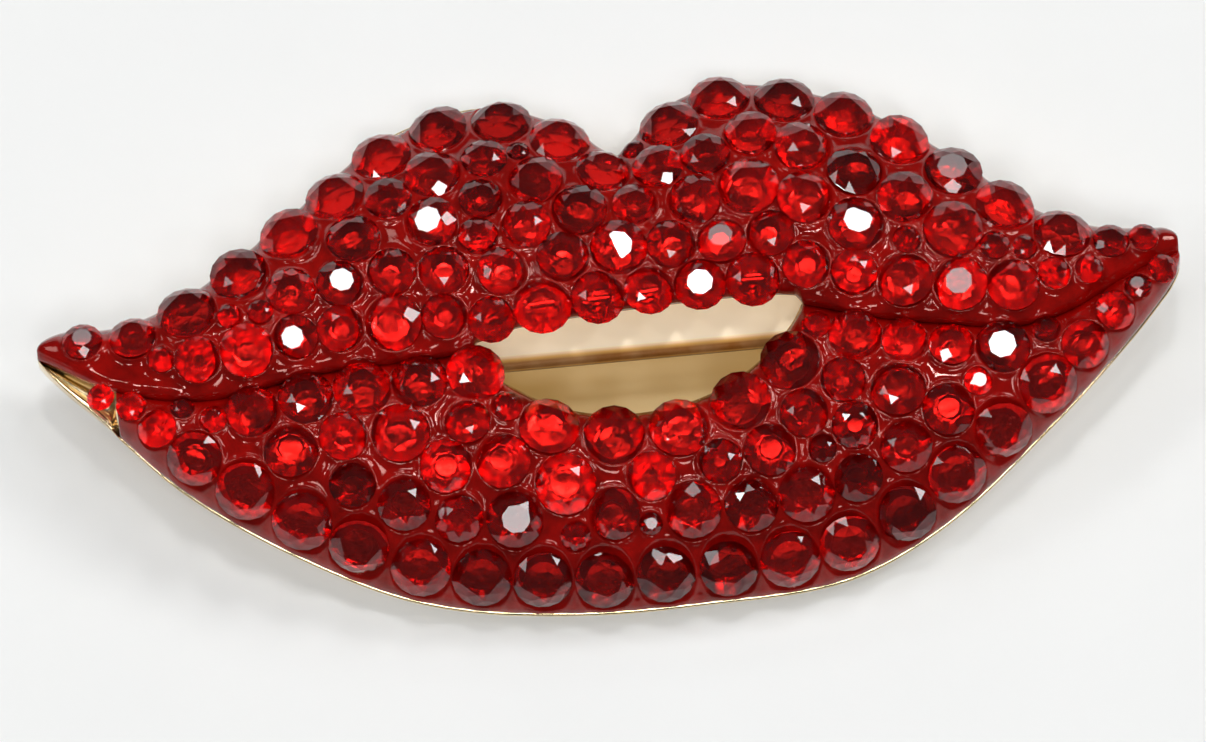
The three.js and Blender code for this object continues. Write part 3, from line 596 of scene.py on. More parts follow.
def stone_layout(context):
    """(centres, radii) of the edge stones and of each lip's filling."""
    sizes, settings = context.scene.brooch_sizes, context.scene.brooch_stones
    random = np.random.default_rng(settings.seed)
    upper_lip, lower_lip = Lip(sizes, True), Lip(sizes, False)
    fixed, fixed_radii = edge_stones(lower_lip)
    layout = {"edge": (fixed, fixed_radii)}
    for name, lip in (("upper", upper_lip), ("lower", lower_lip)):
        centres, radii = fill_lip(lip, settings, fixed, fixed_radii, random)
        layout[name] = (centres, radii * FILLING_GROWTH)
    return layout


# ---- Enamel --------------------------------------------------------------------------------------

MOUTH_ROLL = 0.55 * MM
RIM_ROLL = 0.38 * MM
MENISCUS_REACH = 0.8 * MM

# Metal left bare at the rim. On the upper lip it widens in a bell curve round the left lobe, whose middle
# and breadth are shares of the half length.
LOWER_BARE_RIM = 0.1 * MM
UPPER_BARE_RIM = 0.04 * MM
LOBE_BARE_RIM = 0.22 * MM
LOBE_MIDDLE = -0.3
LOBE_BREADTH = 0.12

# How far each lip's enamel reaches over its mouth line, and what that gains or loses in the open mouth.
UPPER_REACH = 0.24 * MM
LOWER_REACH = -0.05 * MM
UPPER_MOUTH_SETBACK = 0.45 * MM
LOWER_MOUTH_REACH = 0.12 * MM

# The underside lies this share of the wall inside the metal, deeper than the stones' points, and is
# shallower by the mouth, where the metal is undercut.
UNDERSIDE_SUNK = 0.62
SUNK_AT_MOUTH = 0.45
SUNK_SLOPE = 3
SUNK_SHARE = 0.12
MOUTH_TUCK = 0.4 * MM
MOUTH_FOOT = 0.3 * MM
CASTING_OVERLAP = 0.02 * MM


def roll_off(distance, radius):
    """How far a quarter-round edge has dropped at a distance from its end."""
    s = np.clip(1 - distance / radius, 0, 1)
    return radius * (1 - np.sqrt(1 - s**2))


def enamel_top(lip, x, y, to_rim, to_mouth, layout, settings):
    """The enamel's height: the lip's front, rolled off at its edges, plus a climb round each stone that
    fades exponentially with the distance. Under a stone it dips at 45 degrees, as the stone's pointed back
    does."""
    height = lip.front(x, y) - roll_off(to_rim, RIM_ROLL) - roll_off(to_mouth, MOUTH_ROLL)
    centres = np.concatenate([centre for centre, _ in layout.values()])
    radii = np.concatenate([radius for _, radius in layout.values()])
    flat_x, flat_y = x.ravel(), y.ravel()
    missing = np.ones(flat_x.shape)
    depth = np.zeros(flat_x.shape)
    for centre, radius in zip(centres, radii):
        near = np.flatnonzero(np.hypot(flat_x - centre[0], flat_y - centre[1]) < radius + MENISCUS_REACH)
        clear = np.hypot(flat_x[near] - centre[0], flat_y[near] - centre[1]) - radius
        missing[near] *= 1 - np.exp(-np.maximum(clear, 0) / settings.meniscus_width)
        depth[near] = np.maximum(depth[near], np.maximum(-clear, 0))
    climb = settings.meniscus * (1 - missing.reshape(x.shape))
    return height + climb - depth.reshape(x.shape)


def enamel_rings(lip, layout, settings, ends):
    """Sections of the enamel: its top from the rim to the mouth, the wall at the mouth, and an underside
    that follows the floor of the casting's recess, inside the metal."""
    sizes = lip.sizes
    x = np.linspace(*ends, 720)
    lobe = np.exp(-(((x / sizes.half_length - LOBE_MIDDLE) / LOBE_BREADTH) ** 2))
    bare_rim = UPPER_BARE_RIM + LOBE_BARE_RIM * lobe if lip.upper else LOWER_BARE_RIM
    rim = lip.outer(x) + lip.inward * bare_rim
    reach = UPPER_REACH if lip.upper else LOWER_REACH
    in_mouth = -UPPER_MOUTH_SETBACK if lip.upper else LOWER_MOUTH_REACH
    mouth = lip.inner(x) + lip.inward * (reach + in_mouth * lip.openness(x))
    even = np.linspace(0, 1, 120)
    share = even / 2 + (1 - np.cos(math.pi * even)) / 4
    grid_x = np.repeat(x[:, None], len(share), axis=1)
    grid_y = rim[:, None] + (mouth - rim)[:, None] * share
    width = np.abs(mouth - rim)[:, None]
    top = enamel_top(lip, grid_x, grid_y, share * width, (1 - share) * width, layout, settings)
    columns = [(grid_y[:, k], top[:, k]) for k in range(len(share))]
    drop = sizes.enamel_depth - CASTING_OVERLAP
    wall_foot = lip.front(x, mouth) - drop - MOUTH_FOOT
    for level in (0.4, 0.8, 1.0):
        columns.append((mouth, top[:, -1] + (wall_foot - top[:, -1]) * level))
    tuck = mouth - lip.inward * MOUTH_TUCK
    columns.append((tuck, wall_foot))
    under = lip.outer(x) + lip.inward * lip.across(x, sizes.rim_width, RIM_SHARE)
    sunk = lip.across(x, UNDERSIDE_SUNK * sizes.wall, SUNK_SHARE)
    for level in np.linspace(0, 1, 16):
        y = tuck + (under - tuck) * level
        columns.append((y, lip.front(x, y) - drop - sunk * min(1, SUNK_AT_MOUTH + SUNK_SLOPE * level)))
    columns.append((rim, top[:, 0] - 0.1 * MM))
    return stack_ring(x, columns, lip.upper)


class BROOCH_OT_enamel(Operator):
    """Pours the red enamel of both lips round the stones"""

    bl_idname = "brooch.enamel"
    bl_label = "Enamel"

    def execute(self, context):
        sizes, settings = context.scene.brooch_sizes, context.scene.brooch_stones
        layout = stone_layout(context)
        material = red_enamel(context)
        half = sizes.half_length
        end = half - 0.02 * MM
        spans = {"upper_enamel": (-end, end), "lower_enamel": (BARE_TIP * half, end)}
        for name, ends in spans.items():
            lip = Lip(sizes, name == "upper_enamel")
            piece = loft(f"{name}_surface", enamel_rings(lip, layout, settings, ends), [material])
            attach(piece, "brooch")
            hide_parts(name)
        return {"FINISHED"}


# ---- Stones --------------------------------------------------------------------------------------

# A cut stone's proportions, for a radius of 1.
TABLE = 0.50
STAR = 0.74
CROWN_HEIGHT = 0.40
PAVILION_DEPTH = 0.80
KEEL = 0.34

# How much of the lip's own slope a row of stones takes.
EDGE_ROW_LEAN = 0.8
LEAN = 0.5


def polar(radius, degrees, height):
    """Points on a level circle, at angles in degrees."""
    angle = np.radians(degrees)
    return np.stack([radius * np.cos(angle), radius * np.sin(angle), np.full(angle.shape, height)], axis=1)


def cut_stone():
    """A round brilliant of radius 1 with its girdle at height 0. An octagonal table, eight stars, eight
    kites and sixteen girdle facets are above, and eight mains and sixteen girdle facets below. Points on a
    facet share its plane. Returns the points, the faces and how many of the faces belong to the crown."""
    eighth = np.arange(8) * 45.0
    lean = math.cos(math.radians(22.5))
    star_height = CROWN_HEIGHT * (1 - STAR * lean) / (1 - TABLE)
    keel_height = -PAVILION_DEPTH * (1 - KEEL * lean)
    points = np.concatenate([
        polar(TABLE, eighth, CROWN_HEIGHT),
        polar(STAR, eighth + 22.5, star_height),
        polar(1.0, np.arange(16) * 22.5, 0.0),
        polar(KEEL, eighth + 22.5, keel_height),
        [[0.0, 0.0, -PAVILION_DEPTH]],
    ])
    table, star, girdle, keel, point = 0, 8, 16, 32, 40
    crown = [list(range(8))]
    pavilion = []
    for k in range(8):
        after, before = (k + 1) % 8, (k - 1) % 8
        crown.append([table + k, star + k, table + after])
        crown.append([table + k, star + before, girdle + 2 * k, star + k])
        crown.append([star + k, girdle + 2 * k, girdle + 2 * k + 1])
        crown.append([star + k, girdle + 2 * k + 1, girdle + 2 * after])
        pavilion.append([point, keel + k, girdle + 2 * k, keel + before])
        pavilion.append([keel + k, girdle + 2 * k + 1, girdle + 2 * k])
        pavilion.append([keel + k, girdle + 2 * after, girdle + 2 * k + 1])
    return points, crown + pavilion, len(crown)


def turned_to(axes):
    """A rotation for each axis (n, 3) that carries +Z onto it: Rodrigues' formula for the shortest turn."""
    x, y, z = axes.T
    k = 1 / (1 + z)
    return np.stack([
        np.stack([1 - k * x * x, -k * x * y, x], axis=1),
        np.stack([-k * x * y, 1 - k * y * y, y], axis=1),
        np.stack([-x, -y, z], axis=1),
    ], axis=1)


def stone_axes(lip, centres, tilt, lean, random):
    """Each stone leans towards the lip's own normal, all the way at a lean of 1, and a little at random."""
    step = SLOPE_STEP
    x, y = centres.T
    slope_x = (lip.front(x + step, y) - lip.front(x - step, y)) / (2 * step)
    slope_y = (lip.front(x, y + step) - lip.front(x, y - step)) / (2 * step)
    normal = np.stack([-slope_x, -slope_y, np.ones(len(x))], axis=1)
    normal /= np.linalg.norm(normal, axis=1, keepdims=True)
    axis = lean * normal + (1 - lean) * np.array([0, 0, 1])
    axis /= np.linalg.norm(axis, axis=1, keepdims=True)
    axis[:, :2] += random.normal(0, tilt, (len(x), 2))
    return axis / np.linalg.norm(axis, axis=1, keepdims=True)


def stones_piece(name, centres, radii, lips, lean, settings, materials, random):
    """One mesh of many stones: the cut stone, turned, scaled and moved to each place as whole arrays."""
    points, faces, crown_count = cut_stone()
    axes = np.concatenate([stone_axes(lip, centre[None], settings.tilt, lean, random)
                           for lip, centre in zip(lips, centres)])
    heights = np.array([float(lip.front(*centre)) for lip, centre in zip(lips, centres)]) + settings.proud
    spin = random.uniform(0, 2 * math.pi, len(centres))
    cos, sin = np.cos(spin), np.sin(spin)
    zero, one = np.zeros(len(spin)), np.ones(len(spin))
    turn = np.stack([np.stack([cos, -sin, zero], 1), np.stack([sin, cos, zero], 1),
                     np.stack([zero, zero, one], 1)], axis=1)
    matrices = turned_to(axes) @ turn * radii[:, None, None]
    places = np.concatenate([centres, heights[:, None]], axis=1)
    cloud = np.einsum("nij,vj->nvi", matrices, points) + places[:, None]
    all_faces = [[corner + stone * len(points) for corner in face]
                 for stone in range(len(centres)) for face in faces]
    piece = new_piece(name, cloud.reshape(-1, 3), all_faces, materials, smooth=False)
    slots = np.tile(np.arange(len(faces)) >= crown_count, len(centres)).astype(np.int32)
    piece.data.polygons.foreach_set("material_index", slots)
    tone = piece.data.attributes.new("tone", "FLOAT", "POINT")
    tone.data.foreach_set("value", np.repeat(random.uniform(0, 1, len(centres)), len(points)))
    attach(piece, "brooch")
    return piece


class BROOCH_OT_stones(Operator):
    """Sets the edge stones and fills both lips between them"""

    bl_idname = "brooch.stones"
    bl_label = "Stones"

    def execute(self, context):
        sizes, settings = context.scene.brooch_sizes, context.scene.brooch_stones
        layout = stone_layout(context)
        random = np.random.default_rng(settings.seed + 1)
        upper, lower = Lip(sizes, True), Lip(sizes, False)
        materials = [stone_glass(context), stone_foil(context)]
        centres, radii = layout["edge"]
        rows = {}
        for index, node in enumerate(STONE_NODES):
            rows.setdefault(node.rsplit("_", 1)[0], []).append(index)
        for row, indices in rows.items():
            lips = [upper if "lobe" in row else lower] * len(indices)
            lean = EDGE_ROW_LEAN if row == "lower_edge_stone" else LEAN
            piece = stones_piece(f"{row}s", centres[indices], radii[indices], lips, lean, settings,
                                 materials, random)
            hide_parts(*[STONE_NODES[index] for index in indices])
        for name, lip in (("upper", upper), ("lower", lower)):
            centres, radii = layout[name]
            lips = [lip] * len(centres)
            stones_piece(f"{name}_lip_stones", centres, radii, lips, LEAN, settings, materials, random)
        return {"FINISHED"}


# ---- Pin, hinge and catch ------------------------------------------------------------------------

BAR_DOME = 0.14 * MM
BAR_EDGE = 0.2 * MM
BAR_EDGE_POWER = 16
BEVEL_ANGLE = math.radians(40)
WELD_DISTANCE = 0.001 * MM

# Each CAD node's body, its finish, and the width of its rounded edges in millimetres.
FITTINGS = {
    "hinge_bracket": ("brooch", "gold_plate", 0.06),
    "hinge_rivet": ("brooch", "gold_plate", 0.08),
    "catch_housing": ("brooch", "gold_plate", 0.06),
    "catch_rotor": ("catch", "gold_plate", 0.06),
    "pin_stem": ("stem", "pin_wire", 0.05),
    "left_solder": ("brooch", "solder", 0.09),
    "right_solder": ("brooch", "solder", 0.09),
}


def domed_bar(material):
    """The pin bar as a strip with round ends. Across it, with v from -1 to 1, its front drops by BAR_DOME
    times v squared, and at its edges by BAR_EDGE times a high power of v. The stations of each round end
    run backwards, so the skin folds over itself there."""
    low, high = BAR_LOW, BAR_HIGH
    half = (high[1] - low[1]) / 2
    middle = (high[1] + low[1]) / 2
    angle = np.linspace(-math.pi / 2, math.pi / 2, 25)
    left = low[0] + half - half * np.cos(angle)
    x = np.concatenate([left[:13], np.linspace(low[0] + half, high[0] - half, 60)[1:-1],
                        (high[0] - half + half * np.cos(angle))[12:]])
    reach = np.minimum(np.minimum(x - low[0], high[0] - x), half) / half
    width = half * np.sqrt(np.maximum(1 - (1 - reach) ** 2, 1e-5))
    across = np.sin(np.linspace(math.pi / 2, -math.pi / 2, 33))
    top = high[2] - BAR_DOME * across**2 - BAR_EDGE * across**BAR_EDGE_POWER
    columns = [(middle + width * v, np.full_like(x, z)) for v, z in zip(across, top)]
    columns += [(middle - width * v, np.full_like(x, low[2])) for v in (0.97, 0.5, 0.0, -0.5, -0.97)]
    return loft("pin_bar_surface", stack_ring(x, columns, False), [material])


def softened_copy(node, width):
    """A merged copy of a CAD node with its sharp edges rounded off."""
    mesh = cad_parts[node].data.copy()
    mesh.name = f"{node}_surface"
    piece = bpy.data.objects.new(f"{node}_surface", mesh)
    bpy.context.scene.collection.objects.link(piece)
    mesh.materials.clear()
    weld = piece.modifiers.new("weld", "WELD")
    weld.merge_threshold = WELD_DISTANCE
    bevel = piece.modifiers.new("bevel", "BEVEL")
    bevel.width = width * MM
    bevel.segments = 3
    bevel.limit_method = "ANGLE"
    bevel.angle_limit = BEVEL_ANGLE
    bevel.harden_normals = True
    depsgraph = bpy.context.evaluated_depsgraph_get()
    finished = bpy.data.meshes.new_from_object(piece.evaluated_get(depsgraph))
    piece.modifiers.clear()
    piece.data = finished
    finished.polygons.foreach_set("use_smooth", np.full(len(finished.polygons), True))
    finished.update()
    return piece


class BROOCH_OT_fittings(Operator):
    """Rounds the edges of the bar, the hinge, the stem and the catch, and plates them"""

    bl_idname = "brooch.fittings"
    bl_label = "Fittings"

    def execute(self, context):
        finishes = {
            "gold_plate": gold_plate(context, "fitting_gold", 0.9, (0.46, 0.56), 0.04),
            "pin_wire": drawn_wire(context),
            "solder": soft_solder(context),
        }
        bar = domed_bar(satin_gold(context))
        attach(bar, "brooch")
        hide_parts("pin_bar")
        for node, (body, finish, width) in FITTINGS.items():
            piece = softened_copy(node, width)
            piece.data.materials.append(finishes[finish])
            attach(piece, body)
            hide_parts(node)
        return {"FINISHED"}


# ---- Materials -----------------------------------------------------------------------------------


PALE_GOLD = (0.93, 0.80, 0.60, 1.0)
WIRE_COLOURS = ((0.80, 0.66, 0.42, 1.0), (0.74, 0.68, 0.58, 1.0))
SOLDER_COLOURS = ((0.44, 0.42, 0.38, 1.0), (0.62, 0.58, 0.50, 1.0))
ENAMEL_TINT = (1.0, 0.6, 0.53, 1.0)
FINE_BUMP = 0.04 * MM
ENAMEL_BUMP = 0.05 * MM
SOLDER_BUMP = 0.1 * MM

# Patterns per metre: broad clouds, and the fine grain of a polished surface.
CLOUD_SCALE = 420.0
POLISH_SCALE = 2600.0


def new_material(name):
    """A material, its node tree and its shader."""
    material = bpy.data.materials.new(name)
    material.use_nodes = True
    tree = material.node_tree
    shader = next(node for node in tree.nodes if node.type == "BSDF_PRINCIPLED")
    return material, tree, shader


def add(tree, kind, **inputs):
    """A new node, with an input set for each name, where an underscore stands for a space."""
    node = tree.nodes.new(kind)
    for socket, value in inputs.items():
        node.inputs[socket.replace("_", " ")].default_value = value
    return node


def object_coordinates(tree):
    return tree.nodes.new("ShaderNodeTexCoord").outputs["Object"]


def grain_group():
    """Fine surface unevenness. In: Scale, Low, High, Vector. Out: a mask between Low and High, and the
    height that a Bump node reads."""
    name = "surface grain"
    if name in bpy.data.node_groups:
        return bpy.data.node_groups[name]
    group = bpy.data.node_groups.new(name, "ShaderNodeTree")
    for socket, kind, value in (("Vector", "NodeSocketVector", None), ("Scale", "NodeSocketFloat", 1000.0),
                                ("Low", "NodeSocketFloat", 0.0), ("High", "NodeSocketFloat", 1.0)):
        made = group.interface.new_socket(name=socket, in_out="INPUT", socket_type=kind)
        if value is not None:
            made.default_value = value
    group.interface.new_socket(name="Mask", in_out="OUTPUT", socket_type="NodeSocketFloat")
    group.interface.new_socket(name="Height", in_out="OUTPUT", socket_type="NodeSocketFloat")
    entry = group.nodes.new("NodeGroupInput")
    leave = group.nodes.new("NodeGroupOutput")
    coarse = add(group, "ShaderNodeTexNoise", Detail=4.0, Roughness=0.6)
    spread = add(group, "ShaderNodeMapRange", From_Min=0.3, From_Max=0.7)
    group.links.new(entry.outputs["Vector"], coarse.inputs["Vector"])
    group.links.new(entry.outputs["Scale"], coarse.inputs["Scale"])
    group.links.new(coarse.outputs["Fac"], spread.inputs["Value"])
    group.links.new(entry.outputs["Low"], spread.inputs["To Min"])
    group.links.new(entry.outputs["High"], spread.inputs["To Max"])
    group.links.new(spread.outputs["Result"], leave.inputs["Mask"])
    group.links.new(coarse.outputs["Fac"], leave.inputs["Height"])
    return group


def grain(tree, scale, low, high):
    """A surface grain node on Object coordinates."""
    node = tree.nodes.new("ShaderNodeGroup")
    node.node_tree = grain_group()
    node.inputs["Scale"].default_value = scale
    node.inputs["Low"].default_value = low
    node.inputs["High"].default_value = high
    tree.links.new(object_coordinates(tree), node.inputs["Vector"])
    return node


def bump(tree, shader, height, strength, distance):
    """Lets a height bend the shader's normal."""
    node = add(tree, "ShaderNodeBump", Strength=strength, Distance=distance)
    tree.links.new(height, node.inputs["Height"])
    tree.links.new(node.outputs["Normal"], shader.inputs["Normal"])


def ramp_between(tree, factor, first, second):
    """A colour between two, by a factor."""
    node = tree.nodes.new("ShaderNodeMix")
    node.data_type = "RGBA"
    node.inputs["A"].default_value = first
    node.inputs["B"].default_value = second
    tree.links.new(factor, node.inputs["Factor"])
    return node.outputs["Result"]


def shaded(rgba, factor):
    """A colour made darker or lighter."""
    return tuple(min(1.0, channel * factor) for channel in rgba[:3]) + (1.0,)


def gold_plate(context, name, wear, roughness, peel):
    """Bright plate: mottled towards a paler rubbed colour, with cloudy roughness and a faint peel bump."""
    rgba = tuple(context.scene.brooch_colours.gold)
    material, tree, shader = new_material(name)
    shader.inputs["Metallic"].default_value = 1.0
    clouds = grain(tree, CLOUD_SCALE, 0.0, wear)
    polish = grain(tree, POLISH_SCALE, *roughness)
    tinted = ramp_between(tree, clouds.outputs["Mask"], rgba, PALE_GOLD)
    tree.links.new(tinted, shader.inputs["Base Color"])
    tree.links.new(polish.outputs["Mask"], shader.inputs["Roughness"])
    bump(tree, shader, polish.outputs["Height"], peel, FINE_BUMP)
    return material


# Painted shade and light across the bar from its front edge: a dark brown shadow line, gold, then a cream
# highlight. Each stop: the share of the shading width, and the colour there.
BAR_SHADE_AND_LIGHT = ((0.0, (0.34, 0.17, 0.04)), (0.07, (0.13, 0.038, 0.001)), (0.34, (0.17, 0.055, 0.002)),
           (0.50, (0.58, 0.31, 0.08)), (0.75, (1.0, 0.85, 0.62)))
BAR_SHADING_WIDTH = 1.0 * MM
BAR_GLOW = 0.3
GLOW_DEPTHS = (0.5 * MM, 0.3 * MM)


def satin_gold(context):
    """Pale satin plate under lacquer, so that it scatters part of the light: mottled, with a painted brown
    shadow line along its front edge, then gold, then a painted cream highlight. A faint painted glow on its
    front, which fades out down its sides, stands for the light that the casting's bright back throws on it."""
    rgba = tuple(context.scene.brooch_colours.gold)
    material, tree, shader = new_material("satin_gold")
    place = tree.nodes.new("ShaderNodeSeparateXYZ")
    tree.links.new(object_coordinates(tree), place.inputs["Vector"])
    edge = float(BAR_LOW[1])
    # Painted shade and light: this ramp darkens the bar's front edge into a shadow line and lightens its
    # top to a cream highlight.
    reach = add(tree, "ShaderNodeMapRange", From_Min=edge, From_Max=edge + BAR_SHADING_WIDTH)
    tree.links.new(place.outputs["Y"], reach.inputs["Value"])
    ramp = tree.nodes.new("ShaderNodeValToRGB")
    stops = ramp.color_ramp.elements
    while len(stops) < len(BAR_SHADE_AND_LIGHT):
        stops.new(0.5)
    for stop, (position, rgb) in zip(stops, BAR_SHADE_AND_LIGHT):
        stop.position = position
        stop.color = (*rgb, 1.0)
    tree.links.new(reach.outputs["Result"], ramp.inputs["Fac"])
    clouds = grain(tree, CLOUD_SCALE, 0.0, 0.12)
    mottled_painted_shade = ramp_between(tree, clouds.outputs["Mask"], rgba, rgba)
    tree.links.new(ramp.outputs["Color"], mottled_painted_shade.node.inputs["A"])
    tree.links.new(mottled_painted_shade, shader.inputs["Base Color"])
    tree.links.new(mottled_painted_shade, shader.inputs["Emission Color"])
    # Painted light: the bar's front glows, fading out down its sides.
    front = float(BAR_HIGH[2])
    low, high = (front - depth for depth in GLOW_DEPTHS)
    glow = add(tree, "ShaderNodeMapRange", From_Min=low, From_Max=high, To_Max=BAR_GLOW)
    tree.links.new(place.outputs["Z"], glow.inputs["Value"])
    tree.links.new(glow.outputs["Result"], shader.inputs["Emission Strength"])
    shader.inputs["Metallic"].default_value = 0.2
    shader.inputs["Specular IOR Level"].default_value = 0.15
    polish = grain(tree, POLISH_SCALE, 0.34, 0.5)
    tree.links.new(polish.outputs["Mask"], shader.inputs["Roughness"])
    bump(tree, shader, polish.outputs["Height"], 0.04, FINE_BUMP)
    return material


def drawn_wire(context):
    """Polished wire with a gold flash."""
    material, tree, shader = new_material("drawn_wire")
    shader.inputs["Metallic"].default_value = 1.0
    rub = grain(tree, 1500.0, 0.0, 1.0)
    tinted = ramp_between(tree, rub.outputs["Mask"], *WIRE_COLOURS)
    tree.links.new(tinted, shader.inputs["Base Color"])
    polish = grain(tree, 5200.0, 0.12, 0.26)
    tree.links.new(polish.outputs["Mask"], shader.inputs["Roughness"])
    return material


def soft_solder(context):
    """Dull grey solder with a lumpy skin."""
    material, tree, shader = new_material("soft_solder")
    shader.inputs["Metallic"].default_value = 1.0
    lumps = grain(tree, 1100.0, 0.30, 0.55)
    tinted = ramp_between(tree, lumps.outputs["Mask"], *SOLDER_COLOURS)
    tree.links.new(tinted, shader.inputs["Base Color"])
    tree.links.new(lumps.outputs["Mask"], shader.inputs["Roughness"])
    bump(tree, shader, lumps.outputs["Height"], 0.5, SOLDER_BUMP)
    return material


def red_enamel(context):
    """Glossy deep red with clouds of a lighter red."""
    rgba = tuple(context.scene.brooch_colours.enamel)
    material, tree, shader = new_material("red_enamel")
    clouds = grain(tree, 700.0, 0.0, 1.0)
    tinted = ramp_between(tree, clouds.outputs["Mask"], shaded(rgba, 0.65), shaded(rgba, 1.5))
    tree.links.new(tinted, shader.inputs["Base Color"])
    skin = grain(tree, 1800.0, 0.02, 0.07)
    tree.links.new(skin.outputs["Mask"], shader.inputs["Roughness"])
    shader.inputs["IOR"].default_value = 1.45
    shader.inputs["Specular IOR Level"].default_value = 0.6
    shader.inputs["Specular Tint"].default_value = ENAMEL_TINT
    bump(tree, shader, skin.outputs["Height"], 0.25, ENAMEL_BUMP)
    return material


def stone_glass(context):
    """Clear red glass: each stone is a little lighter or darker than the next."""
    rgba = tuple(context.scene.brooch_colours.glass)
    material, tree, shader = new_material("stone_glass")
    tone = tree.nodes.new("ShaderNodeAttribute")
    tone.attribute_name = "tone"
    tinted = ramp_between(tree, tone.outputs["Fac"], shaded(rgba, 0.5), shaded(rgba, 1.12))
    tree.links.new(tinted, shader.inputs["Base Color"])
    shader.inputs["Roughness"].default_value = 0.0
    shader.inputs["IOR"].default_value = 1.5
    shader.inputs["Transmission Weight"].default_value = 1.0
    return material


def stone_foil(context):
    """Mirror foil on the pointed back, seen through the glass."""
    rgba = tuple(context.scene.brooch_colours.foil)
    material, tree, shader = new_material("stone_foil")
    shader.inputs["Metallic"].default_value = 1.0
    tone = tree.nodes.new("ShaderNodeAttribute")
    tone.attribute_name = "tone"
    tinted = ramp_between(tree, tone.outputs["Fac"], shaded(rgba, 0.8), shaded(rgba, 1.05))
    tree.links.new(tinted, shader.inputs["Base Color"])
    shader.inputs["Roughness"].default_value = 0.25
    return material


# ---- Stage ---------------------------------------------------------------------------------------

PAPER_GLOW = (0.16, 0.162, 0.16, 1.0)
# Painted reflection of the gold plate on the surface under the brooch: a warm glow and a gold tint.
GOLD_BOUNCE_GLOW = (0.17, 0.105, 0.03, 1.0)
GOLD_BOUNCE_TINT = (0.66, 0.53, 0.32, 1.0)

# The ellipse of painted gold reflection under the brooch, whose colour fades out between two shares of its
# radii.
GOLD_BOUNCE_SCALE = (38.0, 95.0, 1.0)
GOLD_BOUNCE_OFFSET = (0, -0.04, 0)
GOLD_BOUNCE_EDGE = (1.0, 0.35)
FLOOR_HALF = 1.5

# Each light's azimuth and elevation in degrees, its distance, its two sizes and its strength.
STUDIO_LIGHTS = {
    "right_soft": (62, 45, 1.2, (0.3, 0.3), 14.0),
    "left_soft": (-75, 45, 1.2, (0.3, 0.3), 5.0),
    "front_soft": (176, 66, 1.2, (0.26, 0.26), 11.5),
    "overhead_soft": (-28, 70, 1.2, (0.13, 0.13), 8.0),
    "back_soft": (0, 42, 1.2, (0.3, 0.14), 5.0),
    "window_spot": (2, 74, 0.9, (0.105, 0.105), 42.0),
}
GLINT_SPOTS = ((-50, 52), (140, 55), (28, 58), (-110, 60), (225, 58), (80, 66))
GLINT_SPOT = (0.9, (0.08, 0.08), 27.0)
ROOM_COLOUR = (0.98, 0.99, 1.0, 1.0)
ROOM_STRENGTH = 0.1

SENSOR_WIDTH = 36.0
NEAR_LIMIT = 0.01
CAMERA_TURN = math.radians(-5.5)
CAMERA_ELEVATION = math.radians(75)
CAMERA_DISTANCE = 0.46
FRAME_WIDTH_AT_BROOCH = 59.9 * MM
AIM = Vector((-0.6 * MM, TIP_LINE_Y - 3.36 * MM, 4.5 * MM))


def soft_light(name, place, size, strength):
    """An area light at a place, turned to the brooch. Its power is its strength times its area times pi."""
    light = bpy.data.lights.new(name, "AREA")
    light.shape = "DISK" if name.endswith("spot") else "RECTANGLE"
    light.size, light.size_y = size
    area = size[0] * size[1] * (math.pi / 4 if light.shape == "DISK" else 1)
    light.energy = strength * area * math.pi
    lamp = bpy.data.objects.new(name, light)
    lamp.location = place
    lamp.rotation_euler = (Vector((0, 0, 0)) - Vector(place)).to_track_quat("-Z", "Y").to_euler()
    bpy.context.scene.collection.objects.link(lamp)


def direction(azimuth, elevation, distance):
    """A place seen from the brooch: azimuth from +Y towards +X, in degrees."""
    a, e = math.radians(azimuth), math.radians(elevation)
    flat = distance * math.cos(e)
    return (flat * math.sin(a), flat * math.cos(a), distance * math.sin(e))


